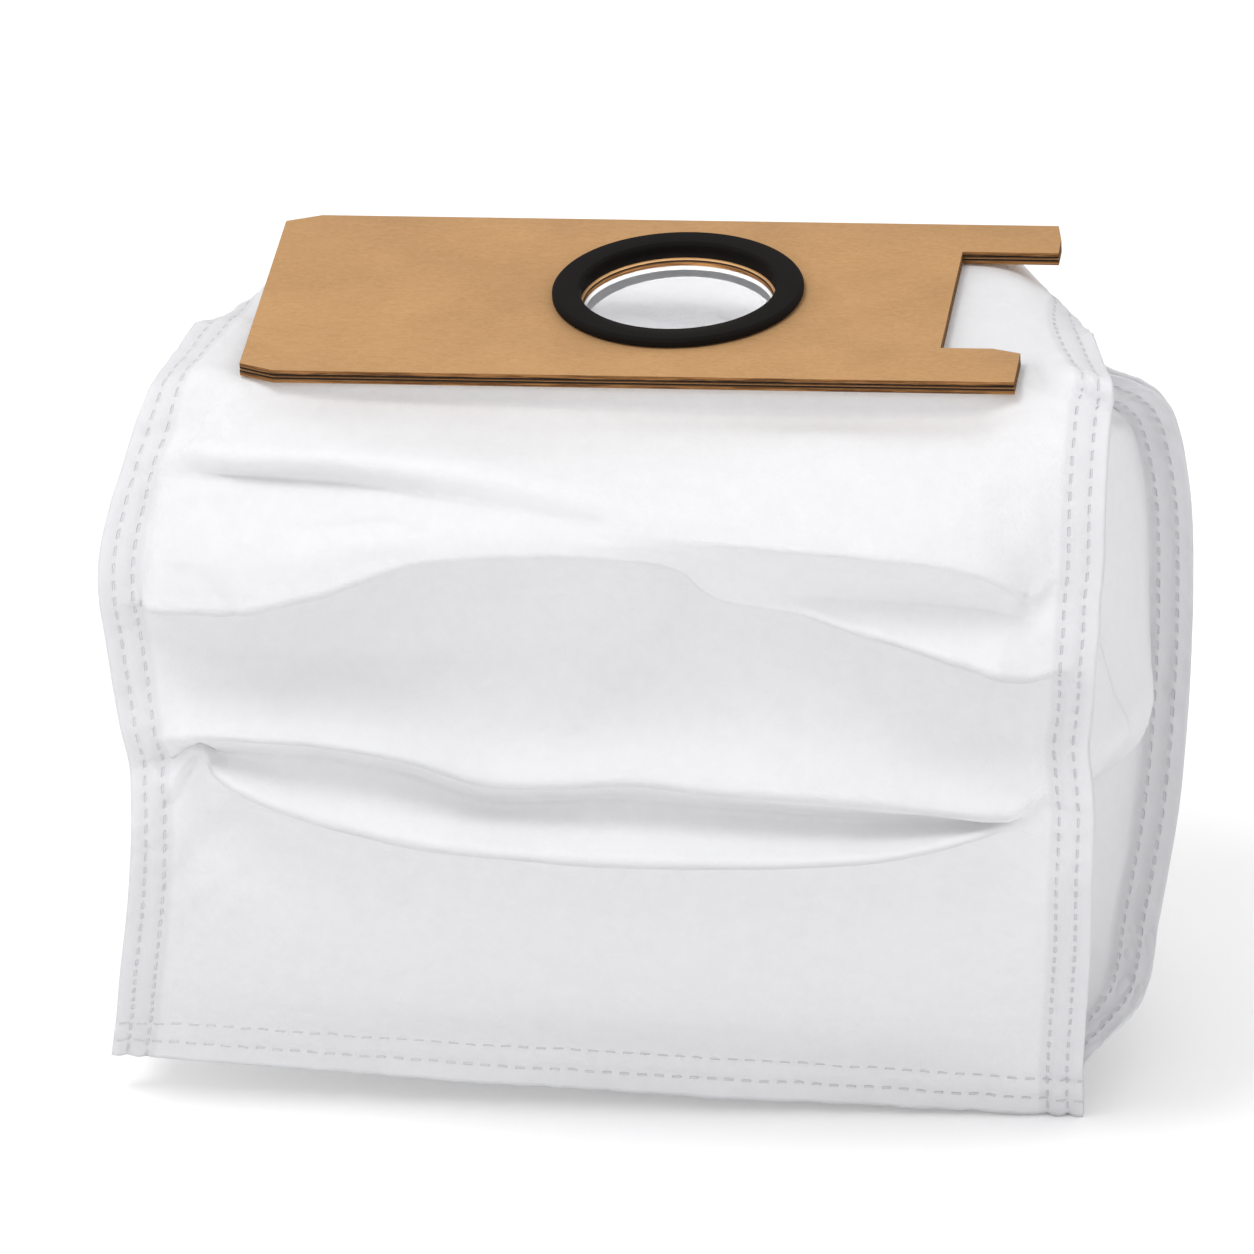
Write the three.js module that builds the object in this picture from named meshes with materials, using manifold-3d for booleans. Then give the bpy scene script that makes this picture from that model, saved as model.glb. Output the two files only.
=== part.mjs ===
// Disposable dust bag of a self-emptying vacuum dock: a white nonwoven bag with folded side
// gussets, glued under a two-ply kraft collar card that carries a rubber seal ring.
// Millimetres, +Z up. The origin is the middle of the card's closed end, on its top face.
// +X runs along the card to its open end and +Y to the back of the bag.
import * as THREE from 'three';
import { mergeVertices } from 'three/addons/utils/BufferGeometryUtils.js';
import Module from 'manifold-3d';

// Collar card
const cardLength = 164.5;
const cardDepth = 76.5;
const plyThickness = 1.3;
const glueGap = 0.3;
const cornerCutLong = 7.5;
const cornerCutDeep = 3.2;
const notchLength = 17.1;
const frontProngWidth = 16;
const backProngWidth = 13.5;
const backProngReach = 3.5;
const prongTipCutLong = 6;
const prongTipCutDeep = 2.1;
const backTipTaper = 1.2;
const backTipTaperDeep = 7;

// Inlet and its seal ring
const inletFromEnd = 89;
const inletOffset = 1.5;
const inletRadius = 20.8;
const sealFlangeWidth = 6;
const sealFlangeHeight = 2;
const sealNeckWall = 1.5;
const sealEdgeRadius = 0.6;
const neckClearance = 0.3;
const lowerPlyLedge = 0.4;
const fabricLedge = 0.8;

// Bag
const fabric = 0.7;
const seamGap = 0.5;
const flangeWidth = 10;
const sideMargin = 24.75;
const bagShift = -3.5;
const bagDrop = 181.5;
const hemHeight = 11.5;
const bagAskew = 2.46;
const rearDepth = 30;

// Grids, offsets and the cut for the inlet
const innerColumns = 23;
const tuckColumns = 6;
const roundSegments = 48;
const ringArcSteps = 2;
const sharpestTurn = 0.08;
const mergeTolerance = 1e-5;
const boreLength = 12;

const wasm = await Module();
wasm.setup();

const halfWidth = cardLength / 2 + sideMargin;
const cardUnderside = -(2 * plyThickness + glueGap);
const askew = THREE.MathUtils.degToRad(bagAskew);
const layerStep = fabric + seamGap;
const inletX = inletFromEnd;
const gluedPlane = cardUnderside - glueGap - fabric / 2;

function colour(hex, roughness) {
  return new THREE.MeshStandardMaterial({ color: hex, roughness, metalness: 0 });
}

const kraft = colour('#cc9e68', 0.9);
const kraftInner = colour('#b98a57', 0.95);
const rubber = colour('#26211e', 0.7);
const nonwoven = colour('#f4f4f5', 0.95);

function toManifold(geometry) {
  const bare = geometry.clone();
  bare.deleteAttribute('normal');
  bare.deleteAttribute('uv');
  const merged = mergeVertices(bare, mergeTolerance);
  return new wasm.Manifold(new wasm.Mesh({
    numProp: 3,
    vertProperties: new Float32Array(merged.attributes.position.array),
    triVerts: new Uint32Array(merged.index.array),
  }));
}

function fromManifold(solid) {
  const mesh = solid.getMesh();
  const geometry = new THREE.BufferGeometry();
  geometry.setAttribute('position', new THREE.BufferAttribute(mesh.vertProperties, 3));
  geometry.setIndex(new THREE.BufferAttribute(mesh.triVerts, 1));
  return geometry;
}

// Collar card: one outline for both plies, with cut corners, two prongs and the inlet hole

function cardOutline(holeRadius) {
  const half = cardDepth / 2;
  const outline = new THREE.Shape();
  outline.moveTo(0, -half + cornerCutDeep);
  outline.lineTo(cornerCutLong, -half);
  outline.lineTo(cardLength, -half);
  outline.lineTo(cardLength, -half + frontProngWidth - prongTipCutDeep);
  outline.lineTo(cardLength - prongTipCutLong, -half + frontProngWidth);
  outline.lineTo(cardLength - notchLength, -half + frontProngWidth);
  outline.lineTo(cardLength - notchLength, half - backProngWidth);
  outline.lineTo(cardLength + backProngReach, half - backProngWidth);
  outline.lineTo(cardLength + backProngReach, half - backTipTaperDeep);
  outline.lineTo(cardLength + backProngReach - backTipTaper, half);
  outline.lineTo(cornerCutLong, half);
  outline.lineTo(0, half - cornerCutDeep);
  outline.closePath();
  const hole = new THREE.Path();
  hole.absarc(inletX, inletOffset, holeRadius, 0, 2 * Math.PI, true);
  outline.holes.push(hole);
  return outline;
}

function cardPly(name, holeRadius, bottom, material) {
  const geometry = new THREE.ExtrudeGeometry(cardOutline(holeRadius), {
    depth: plyThickness,
    bevelEnabled: false,
    curveSegments: roundSegments,
  });
  const ply = new THREE.Mesh(geometry, material);
  ply.name = name;
  ply.position.z = bottom;
  return ply;
}

// Seal ring: a flat flange on the card and a neck through the upper ply

function sealRing() {
  const outer = inletRadius + sealFlangeWidth;
  const top = glueGap + sealFlangeHeight;
  const round = sealEdgeRadius;
  const section = new THREE.Path();
  section.moveTo(inletRadius, -plyThickness);
  section.lineTo(inletRadius + sealNeckWall, -plyThickness);
  section.lineTo(inletRadius + sealNeckWall, glueGap);
  section.lineTo(outer - round / 2, glueGap);
  section.lineTo(outer, glueGap + round / 2);
  section.lineTo(outer, top - round);
  section.absarc(outer - round, top - round, round, 0, Math.PI / 2, false);
  section.lineTo(inletRadius + round, top);
  section.absarc(inletRadius + round, top - round, round, Math.PI / 2, Math.PI, false);
  section.lineTo(inletRadius, -plyThickness);
  const profile = section.getPoints(ringArcSteps);
  const ring = new THREE.Mesh(new THREE.LatheGeometry(profile, roundSegments), rubber);
  ring.name = 'seal_ring';
  ring.rotation.x = Math.PI / 2;
  ring.position.set(inletX, inletOffset, 0);
  return ring;
}

// The bag's own frame lies at the card's middle and hangs askew below the card.
// A point of a fold line is its share of the half width in percent, its reach past a datum
// edge of the card and its drop, both in mm. Shares run from the left seam to the right.

const reachFrom = {
  back: (reach) => cardDepth / 2 + reach,
  middle: (reach) => reach,
  front: (reach) => -cardDepth / 2 - reach,
};

const dropFrom = {
  top: (drop) => -drop,
  card: (drop, x) => (x * Math.sin(askew) + gluedPlane) / Math.cos(askew) - drop,
  hem: (rise) => -bagDrop + rise,
};

function foldLine(datumY, datumZ, points) {
  return points.map(([share, reach, drop]) => {
    const x = bagShift + share / 100 * halfWidth;
    return new THREE.Vector3(x, reachFrom[datumY](reach), dropFrom[datumZ](drop, x));
  });
}

// Front panel, from the top seam behind the card, under it and down the front to the hem.
// The first and last two points of a line give the seam flanges: edge, then root.

const frontFolds = [
  // Top seam: edge and root of its flange, drooping at both ends
  foldLine('back', 'top', [[-84, 16, 35.5], [-76, 18, 28.5], [-69, 19, 22.5], [-60, 19, 17],
    [-30, 19, 14], [0, 19, 13.5], [30, 19, 14], [60, 19, 16], [76, 18, 22], [84, 18, 27.5],
    [92, 16, 34.5]]),
  foldLine('back', 'top', [[-82, 7, 29], [-74, 8, 21], [-69, 9, 15], [-60, 9, 11], [-30, 9.5, 9],
    [0, 9.5, 8.5], [30, 9.5, 8], [60, 9.5, 8.5], [74, 8, 12.5], [80, 8, 18], [88, 7, 26]]),
  // Glued under the card
  foldLine('back', 'card', [[-82, 0, 18.5], [-76, 0, 11], [-71, 0, 1.5], [-60, 0, 0], [-57, 0, 0],
    [57, 0, 0], [60, 0, 0], [67, 0, 0.5], [73, 0, 4], [78.5, 0, 10], [85.5, 0, 18.4]]),
  foldLine('middle', 'card', [[-83, 20, 11.5], [-76.5, 20, 4.2], [-72, 20, 0.5], [-60, 20, 0],
    [-57, 20, 0], [63, 20, 0], [66, 20, 0], [74, 20, 0.6], [80.8, 20, 3.2], [88.5, 20, 11]]),
  foldLine('middle', 'card', [[-86.2, -7, 1.1], [-78, -7, 0], [-74.5, -8, 0], [-71, -8, 0],
    [77, -8, 0], [80.5, -8, 0], [84, -9, 0], [93.4, -10, -0.3]]),
  // Roll from the front prong's tip to the corner of the right seam
  foldLine('front', 'card', [[-91, -2, 1.7], [-82, -4, -2.3], [-76, -4, -0.5], [-74.5, -4, 0],
    [-71, -4, 0], [80, -4, 0], [83.5, -4, 0], [88, -4, -1.8], [92, -3, -3.8],
    [99.5, 2, -4.5]]),
  // Turn over the card's front edge
  foldLine('front', 'top', [[-93, 2, 15], [-84, 3, 12], [-72, 2, 9.5], [-40, 2, 8], [0, 2, 6.5],
    [40, 2, 5], [76, 2, 3.5], [83, 3, 1.5], [91.5, 3, -1.5], [99.5, 5, -1]]),
  // Soft dent below the card
  foldLine('front', 'top', [[-94, 3.5, 18], [-85.5, 5, 16.5], [-70, 8.5, 13],
    [-50, 9, 11.5], [-30, 8, 11.5], [-17, 6.5, 11.5], [9, 6, 10], [30, 7.5, 8],
    [48, 9, 6.5], [68, 9.5, 6], [80, 9.5, 6], [91.2, 8, 5], [99.5, 9.5, 7]]),
  // Swell above the upper crease
  foldLine('front', 'top', [[-95, 5, 22], [-87, 8, 20], [-80, 10.5, 17.5],
    [-69.5, 13.5, 17], [-53, 14.5, 16], [-29.5, 17, 16], [-7.5, 18.5, 18.5],
    [10.5, 19.5, 21], [24, 20, 21.5], [40, 20, 22], [60, 20, 22.5], [75, 19, 24],
    [82, 16.5, 26], [91, 13, 20], [99.5, 13.5, 19]]),
  // Upper crease: a valley on the left that turns into a ridge on the right
  foldLine('front', 'top', [[-96, 6, 26], [-88, 9.5, 24], [-80, 10.5, 23.5],
    [-70, 10.5, 23.5], [-54, 12, 23], [-39.5, 15, 22.5], [-29.5, 17.5, 22.5],
    [-15.5, 19.5, 23], [-3.5, 20.5, 24], [10.5, 22, 25], [20.5, 22.5, 26.5],
    [32.5, 22.5, 27], [52, 22.5, 27.5], [65.5, 22, 28.5], [75.5, 20.5, 31], [81, 18, 35],
    [85, 14.5, 39], [91, 14.5, 33], [99.5, 15, 32]]),
  // Below the crease: top of the left overhang, underside of the ridge on the right
  foldLine('front', 'top', [[-97.5, 8, 31], [-89, 11, 29], [-79.5, 14, 29],
    [-69.5, 15.5, 29], [-53, 17, 28], [-39, 19, 26.5], [-29, 20.5, 26], [-15, 21.5, 26.5],
    [-3, 22, 27], [10.5, 22, 28.5], [20.5, 21, 30.5], [32, 19.5, 32], [51.5, 18.5, 33.5],
    [65.5, 18, 35], [75, 17, 36.5], [81, 15.5, 39], [86, 14.7, 42], [91, 15, 40],
    [99, 15.5, 39]]),
  // Brow of the left overhang, gully below the ridge on the right
  foldLine('front', 'top', [[-99.8, 11.5, 43], [-90.5, 14.5, 42], [-79, 18.5, 41.5],
    [-68.5, 21.5, 38.5], [-52.5, 23, 33], [-38.5, 23.5, 30], [-28.5, 23, 29],
    [-15, 22.5, 28.5], [-3, 22.5, 28.5], [10.5, 21.5, 30], [18.5, 20, 33], [24, 17.5, 38],
    [31.5, 15.5, 41], [39.5, 14.5, 42], [51.5, 14, 42.5], [65, 14, 42.5], [75, 14, 43],
    [85, 15, 44.5], [91, 16, 46], [99, 16, 46]]),
  // Lower edge of the overhang: one sweep on the left, a second one on the right
  foldLine('front', 'top', [[-99.8, 13, 54], [-91, 14, 53], [-79, 19, 50.5],
    [-71.5, 21.5, 50], [-62.5, 23, 46.5], [-52.5, 24, 42.5], [-34.5, 24, 34], [-19, 23, 32],
    [-7, 22.5, 31], [8.5, 21, 32], [16.5, 19.5, 35], [20, 17, 40.5], [25, 15.2, 44],
    [31.5, 14.5, 44.8], [39.5, 15.5, 45], [49.5, 17.5, 47.5], [60, 19.5, 49.5],
    [70, 21.5, 52], [78.5, 22.5, 54], [85.5, 20, 56], [91, 17.5, 55], [98.5, 16.5, 54]]),
  // Tuck under the overhang
  foldLine('front', 'top', [[-99, 12, 62], [-89.5, 12, 62], [-80, 11, 58], [-60, 11, 54],
    [-40, 13, 46], [-20, 15.5, 41], [0, 16.5, 39], [15, 15, 42], [24, 12, 49], [40, 11.5, 51],
    [60, 11, 56], [78, 11, 61], [90, 13, 62], [98, 14, 62]]),
  // Recess across the middle
  foldLine('front', 'top', [[-98, 11, 72], [-88.5, 11, 72], [-75, 9.5, 68], [-50, 9, 66],
    [-20, 10.5, 61], [0, 11, 58], [20, 9.5, 61], [45, 8.5, 66], [70, 9, 71], [90, 11, 69.5],
    [97.5, 12.5, 69]]),
  foldLine('front', 'top', [[-97, 10, 81], [-87.5, 11, 80], [-70, 13, 77], [-50, 14, 76],
    [-22, 12.5, 79], [0, 13.5, 77], [20, 14, 77], [45, 13.5, 79], [70, 12, 82], [89, 11, 77],
    [97, 12, 76]]),
  // Ridge of the lower fold
  foldLine('front', 'top', [[-95.8, 9.5, 88], [-86, 12, 86], [-81, 15, 83.5],
    [-60, 19.5, 81.5], [-40, 20, 83.5], [-20, 18.5, 89.5], [-8, 19.5, 88.5],
    [8.5, 20, 86.5], [20, 20, 87.5], [52, 19.5, 88.5], [72, 17.5, 91], [81, 14.5, 92.3],
    [89.5, 12, 85], [98, 13, 84]]),
  // Pocket behind the ridge
  foldLine('front', 'top', [[-95, 8, 94], [-85.5, 9, 92], [-80, 10, 86.5], [-76, 11, 89],
    [-60, 12, 88.5], [-40, 12, 91], [-20, 12, 96.5], [5, 12.5, 94], [20, 12.5, 94.5],
    [52, 12.5, 95], [72, 12.5, 94], [81.5, 12.5, 93.2], [90, 12, 91], [98.5, 13.5, 91]]),
  // Lip that hangs below the ridge
  foldLine('front', 'top', [[-94.5, 9, 101], [-85, 11, 97], [-80, 13, 88.5],
    [-77, 14.5, 92], [-67.5, 17.5, 97], [-49, 20.5, 101.5], [-29, 23, 103.5], [0, 24, 104],
    [31, 24, 102.5], [52.5, 23, 100.5], [66.5, 20.5, 98], [74, 17.5, 96.2],
    [81.5, 13.5, 95], [90, 12, 98], [98.5, 13, 98]]),
  foldLine('front', 'top', [[-94.6, 10, 110], [-85, 10, 107], [-75, 9, 104], [-50, 9.5, 108],
    [-20, 9.5, 111], [20, 9.5, 111], [50, 9.5, 108], [75, 10, 105], [89.5, 11, 107],
    [98.2, 12, 107]]),
  // Plain wall down to the hem
  foldLine('front', 'top', [[-96, 5, 127], [-87, 6, 127], [-50, 5.5, 128], [0, 6, 129],
    [50, 6, 128], [88.5, 4, 127], [97.5, 3, 128]]),
  foldLine('front', 'hem', [[-99.6, -5, 28], [-90, -5, 28], [-50, -4, 28], [0, -3.5, 29],
    [50, -4.5, 28], [86, -8, 30], [96, -8, 30]]),
  foldLine('front', 'hem', [[-102, -15, hemHeight], [-92.5, -15, hemHeight], [0, -15, hemHeight],
    [86, -15, hemHeight], [95, -15, hemHeight]]),
  foldLine('front', 'hem', [[-103.6, -20, 0], [-94, -20, 0], [0, -20, 0], [86, -20, 0],
    [95, -20, 0]]),
];

// Rear panel below its top seam, whose flange lies under the front panel's
const rearFolds = [
  foldLine('back', 'top', [[-84.5, 8, 42], [-76, 8, 37], [-60, 11, 26], [0, 12, 24],
    [60, 11, 25], [83, 8, 35], [92, 8, 40]]),
  foldLine('back', 'top', [[-93, 16, 49], [-84, 16, 46], [-60, 19, 38], [0, 21, 36],
    [60, 19, 37], [91, 16, 44], [100, 16, 46]]),
  foldLine('back', 'top', [[-98, 23, 57], [-89, 23, 56], [-50, 26, 52], [0, 28, 50],
    [50, 26, 51], [96.7, 23, 53], [105.6, 23, 54]]),
  foldLine('back', 'top', [[-100, 25, 70], [-91, 25, 70], [0, rearDepth, 70], [98, 25, 70],
    [108, 25, 70]]),
  foldLine('back', 'top', [[-101, 26, 90], [-92, 26, 90], [0, rearDepth + 1, 90], [99, 26, 90],
    [109, 26, 90]]),
  foldLine('back', 'top', [[-101, 23, 118], [-92, 23, 118], [0, rearDepth - 3, 118],
    [99, 23, 118], [109, 23, 118]]),
  foldLine('back', 'hem', [[-101, 12, 38], [-92, 12, 38], [0, 14, 37], [99, 12, 38],
    [108, 12, 38]]),
  foldLine('back', 'hem', [[-101, -16, 21], [-92, -16, 21], [0, -15, 22], [97, -16, 21],
    [105.7, -16, 21]]),
  foldLine('back', 'hem', [[-102, -42, 15.5], [-93, -42, 15.5], [0, -43, 15.5], [94, -42, 15.5],
    [102.6, -42, 15.5]]),
];

// Place of each front fold along the rear panel's own lines, and how far the side gusset is
// tucked in there. The first two and last two folds are the end seams, where both sides of a
// gusset lie flat between the panels.
const sideFolds = [
  [2, 30], [2.5, 20], [3, 12], [3.4, 8], [3.8, 6], [4.1, 5], [4.4, 4.5], [4.65, 4],
  [4.85, 3.5], [5.1, 3], [5.4, 2], [5.8, 2], [6.2, 0], [6.6, -3], [6.9, -6], [7.2, -1],
  [7.5, 8], [8, 16], [8.8, 26], [9.7, 38],
];

// Smooth course of a fold line between its points, without overshoot
function alongLine(points, x) {
  let i = 0;
  while (i < points.length - 2 && x > points[i + 1].x) {
    i += 1;
  }
  const slope = (a, b, axis) => (b[axis] - a[axis]) / (b.x - a.x);
  const tangent = (k, axis) => {
    if (k === 0 || k === points.length - 1) {
      const other = k === 0 ? 1 : k - 1;
      return slope(points[k], points[other], axis);
    }
    const before = slope(points[k - 1], points[k], axis);
    const after = slope(points[k], points[k + 1], axis);
    return before * after <= 0 ? 0 : 2 * before * after / (before + after);
  };
  const [a, b] = [points[i], points[i + 1]];
  const span = b.x - a.x;
  const t = THREE.MathUtils.clamp((x - a.x) / span, 0, 1);
  const value = (axis) => {
    const rise = b[axis] - a[axis];
    const startTurn = span * tangent(i, axis) - rise;
    const endTurn = rise - span * tangent(i + 1, axis);
    return a[axis] + rise * t + t * (1 - t) * (startTurn * (1 - t) + endTurn * t);
  };
  return new THREE.Vector3(x, value('y'), value('z'));
}

// One row of a panel: edge, root, the inner columns, root, edge
function panelRow(line) {
  const rootOf = (edge, towards) => {
    const inward = towards.clone().sub(edge).setLength(flangeWidth);
    return edge.clone().add(inward);
  };
  const last = line.length - 1;
  const left = rootOf(line[0], line[1]);
  const right = rootOf(line[last], line[last - 1]);
  const between = line.slice(2, last - 1);
  const course = [left, ...between, right];
  const row = [line[0], left];
  for (let column = 1; column <= innerColumns; column += 1) {
    const share = column / (innerColumns + 1);
    row.push(alongLine(course, THREE.MathUtils.lerp(left.x, right.x, share)));
  }
  row.push(right, line[last]);
  return row;
}

// A panel between its rows: a smooth curve down each column, straight within an end seam
function downColumn(rows, column, place) {
  const curve = new THREE.CatmullRomCurve3(rows.map((row) => row[column]), false, 'centripetal');
  return curve.getPoint(place / (rows.length - 1));
}

const columnCount = innerColumns + 4;
const foldCount = frontFolds.length;
const firstInner = 2;
const lastInner = columnCount - 3;

function surfaceNormal(rows, i, j) {
  const up = rows[Math.max(i - 1, 0)][j];
  const down = rows[Math.min(i + 1, rows.length - 1)][j];
  const left = rows[i][Math.max(j - 1, 0)];
  const right = rows[i][Math.min(j + 1, rows[i].length - 1)];
  const across = right.clone().sub(left);
  const along = down.clone().sub(up);
  return across.cross(along).normalize();
}

// Normal of the cloth in the span below a fold; a seam flange has one normal across its width
function spanNormal(rows, fold, column) {
  let left = column - 1;
  let right = column + 1;
  if (column < firstInner) {
    [left, right] = [0, 1];
  }
  if (column > lastInner) {
    [left, right] = [columnCount - 2, columnCount - 1];
  }
  const across = new THREE.Vector3();
  for (const row of [rows[fold], rows[fold + 1]]) {
    across.add(row[right]).sub(row[left]);
  }
  const along = rows[fold + 1][column].clone().sub(rows[fold][column]);
  return across.cross(along).normalize();
}

// Offset direction at a fold that keeps a layer one step off the spans on both sides of it
function layerNormal(rows, fold, column) {
  const last = rows.length - 1;
  const above = spanNormal(rows, Math.max(fold - 1, 0), column);
  const below = spanNormal(rows, Math.min(fold, last - 1), column);
  const opening = Math.max(1 + above.dot(below), sharpestTurn);
  return above.add(below).divideScalar(opening);
}

function shifted(point, normal, distance) {
  return point.clone().addScaledVector(normal, distance);
}

const isSeam = (fold) => fold < 2 || fold > foldCount - 3;

const frontRows = frontFolds.map(panelRow);

// Rear panel: in the end seams it lies one layer behind the front panel, and three layers
// behind it where both sides of a gusset lie between them
function rearSeamPoint(fold, column) {
  const fromSide = Math.min(column, columnCount - 1 - column) - firstInner;
  const easeColumns = 3;
  const eased = THREE.MathUtils.clamp((fromSide - tuckColumns) / easeColumns, 0, 1);
  const layers = THREE.MathUtils.lerp(3, 1, eased);
  const point = frontRows[fold][column];
  return shifted(point, layerNormal(frontRows, fold, column), layers * layerStep);
}

const rearSeamRows = [0, 1, foldCount - 2, foldCount - 1].map((fold) =>
  frontRows[fold].map((point, column) => rearSeamPoint(fold, column)));
const rearLines = [
  rearSeamRows[0],
  rearSeamRows[1],
  ...rearFolds.map(panelRow),
  rearSeamRows[2],
  rearSeamRows[3],
];
const rearPlace = (fold) => {
  if (isSeam(fold)) {
    return fold < 2 ? fold : fold - foldCount + rearLines.length;
  }
  return sideFolds[fold - 2][0];
};
const rearRows = frontFolds.map((line, fold) =>
  frontRows[fold].map((point, column) => downColumn(rearLines, column, rearPlace(fold))));

// Side gusset: a flange behind the front panel, two halves that meet in a tucked crease, and
// a flange before the rear panel
function gussetRow(fold, columns, tuckSign) {
  const layer = (rows, step) => columns.map((column) =>
    shifted(rows[fold][column], layerNormal(rows, fold, column), step));
  const front = layer(frontRows, layerStep);
  const rear = layer(rearRows, -layerStep);
  const last = columns.length - 1;
  if (fold === 1 || fold === foldCount - 2) {
    // Both halves leave an end seam past the rear panel's turn
    const onward = fold === 1 ? fold + 1 : fold - 1;
    columns.forEach((column, place) => {
      const inward = frontRows[onward][column].clone().sub(frontRows[fold][column]).normalize();
      const past = rear[place].clone().sub(rearRows[fold][column]).dot(inward);
      front[place].addScaledVector(inward, Math.max(past, 0));
    });
  }
  if (!isSeam(fold)) {
    const tuck = sideFolds[fold - 2][1];
    const middle = front[1].clone().lerp(rear[1], 0.5);
    middle.x += tuckSign * tuck;
    const apart = rear[1].clone().sub(front[1]).setLength(layerStep / 2);
    const frontEnd = middle.clone().sub(apart);
    const rearEnd = middle.clone().add(apart);
    for (let column = 2; column <= last; column += 1) {
      const share = (column - 1) / (last - 1);
      front[column] = front[1].clone().lerp(frontEnd, share);
      rear[column] = rear[1].clone().lerp(rearEnd, share);
    }
  }
  const crease = front[last].clone().lerp(rear[last], 0.5);
  crease.x += tuckSign * fabric;
  return [...front, crease, ...rear.reverse()];
}

const leftColumns = frontRows[0].map((point, column) => column)
  .slice(0, firstInner + tuckColumns);
const rightColumns = leftColumns.map((column) => columnCount - 1 - column);

const leftGussetRows = frontFolds.map((line, fold) => gussetRow(fold, leftColumns, 1));
const rightGussetRows = frontFolds.map((line, fold) => gussetRow(fold, rightColumns, -1));

// Extra rows midway between folds where the cloth turns
const plainSpans = [0, 1, 2, 3, 4, 8, 9, 10, 14, 16, 21, 22];

function refined(rows) {
  const fine = [];
  rows.forEach((row, fold) => {
    fine.push(row);
    if (fold < rows.length - 1 && !plainSpans.includes(fold)) {
      fine.push(row.map((point, column) => downColumn(rows, column, fold + 0.5)));
    }
  });
  return fine;
}

// Cloth of even thickness on both sides of a grid of points, closed along its four edges.
// The rows run left to right and the columns downward as seen from the cloth's front face.
function cloth(rows) {
  const height = rows.length;
  const width = rows[0].length;
  const positions = [];
  for (const side of [0.5, -0.5]) {
    for (let i = 0; i < height; i += 1) {
      for (let j = 0; j < width; j += 1) {
        const normal = surfaceNormal(rows, i, j);
        positions.push(...shifted(rows[i][j], normal, -side * fabric).toArray());
      }
    }
  }
  const indices = [];
  const quad = (a, b, c, d) => indices.push(a, b, c, a, c, d);
  const front = (i, j) => i * width + j;
  const back = (i, j) => (height + i) * width + j;
  for (let i = 0; i < height - 1; i += 1) {
    for (let j = 0; j < width - 1; j += 1) {
      quad(front(i, j), front(i + 1, j), front(i + 1, j + 1), front(i, j + 1));
      quad(back(i, j), back(i, j + 1), back(i + 1, j + 1), back(i + 1, j));
    }
    quad(back(i, 0), back(i + 1, 0), front(i + 1, 0), front(i, 0));
    const end = width - 1;
    quad(front(i, end), front(i + 1, end), back(i + 1, end), back(i, end));
  }
  for (let j = 0; j < width - 1; j += 1) {
    quad(back(0, j), front(0, j), front(0, j + 1), back(0, j + 1));
    const foot = height - 1;
    quad(front(foot, j), back(foot, j), back(foot, j + 1), front(foot, j + 1));
  }
  const geometry = new THREE.BufferGeometry();
  geometry.setAttribute('position', new THREE.Float32BufferAttribute(positions, 3));
  geometry.setIndex(indices);
  return geometry;
}

// The right gusset is laid out as a mirror image of the left one, so its rows are turned
// end for end to keep the faces of its solid outward
function turned(rows) {
  return rows.map((row) => [...row].reverse());
}

function clothPanel(name, rows) {
  const panel = new THREE.Mesh(cloth(rows), nonwoven);
  panel.name = name;
  return panel;
}

// Inlet hole through the front panel, square to the card
function withInletHole(panel, bagFrame) {
  const radius = inletRadius - fabricLedge;
  const bore = new THREE.CylinderGeometry(radius, radius, boreLength, roundSegments);
  bore.rotateX(Math.PI / 2);
  bore.translate(inletX, inletOffset, gluedPlane);
  bore.applyMatrix4(bagFrame.clone().invert());
  const cut = toManifold(panel.geometry).subtract(toManifold(bore));
  panel.geometry = fromManifold(cut);
  return panel;
}

const dustBag = new THREE.Group();
dustBag.add(cardPly('upper_card', inletRadius + sealNeckWall + neckClearance, -plyThickness,
  kraft));
dustBag.add(cardPly('lower_card', inletRadius - lowerPlyLedge, cardUnderside, kraftInner));
dustBag.add(sealRing());

const bag = new THREE.Group();
bag.position.x = cardLength / 2;
bag.rotation.y = askew;
bag.updateMatrix();
bag.add(withInletHole(clothPanel('front_panel', refined(frontRows)), bag.matrix));
bag.add(clothPanel('rear_panel', refined(rearRows)));
bag.add(clothPanel('left_gusset', refined(leftGussetRows)));
bag.add(clothPanel('right_gusset', refined(turned(rightGussetRows))));
dustBag.add(bag);

export default dustBag;
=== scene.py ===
# Dust bag of a self-emptying vacuum dock: a white nonwoven bag with folded side gussets,
# glued under a kraft collar card that carries a black rubber seal ring. The bag is limp and
# creased, and hangs a little askew below the card. Sizes are in millimetres unless noted.
import math

import bpy
import numpy as np
from mathutils import Matrix, Vector


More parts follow.
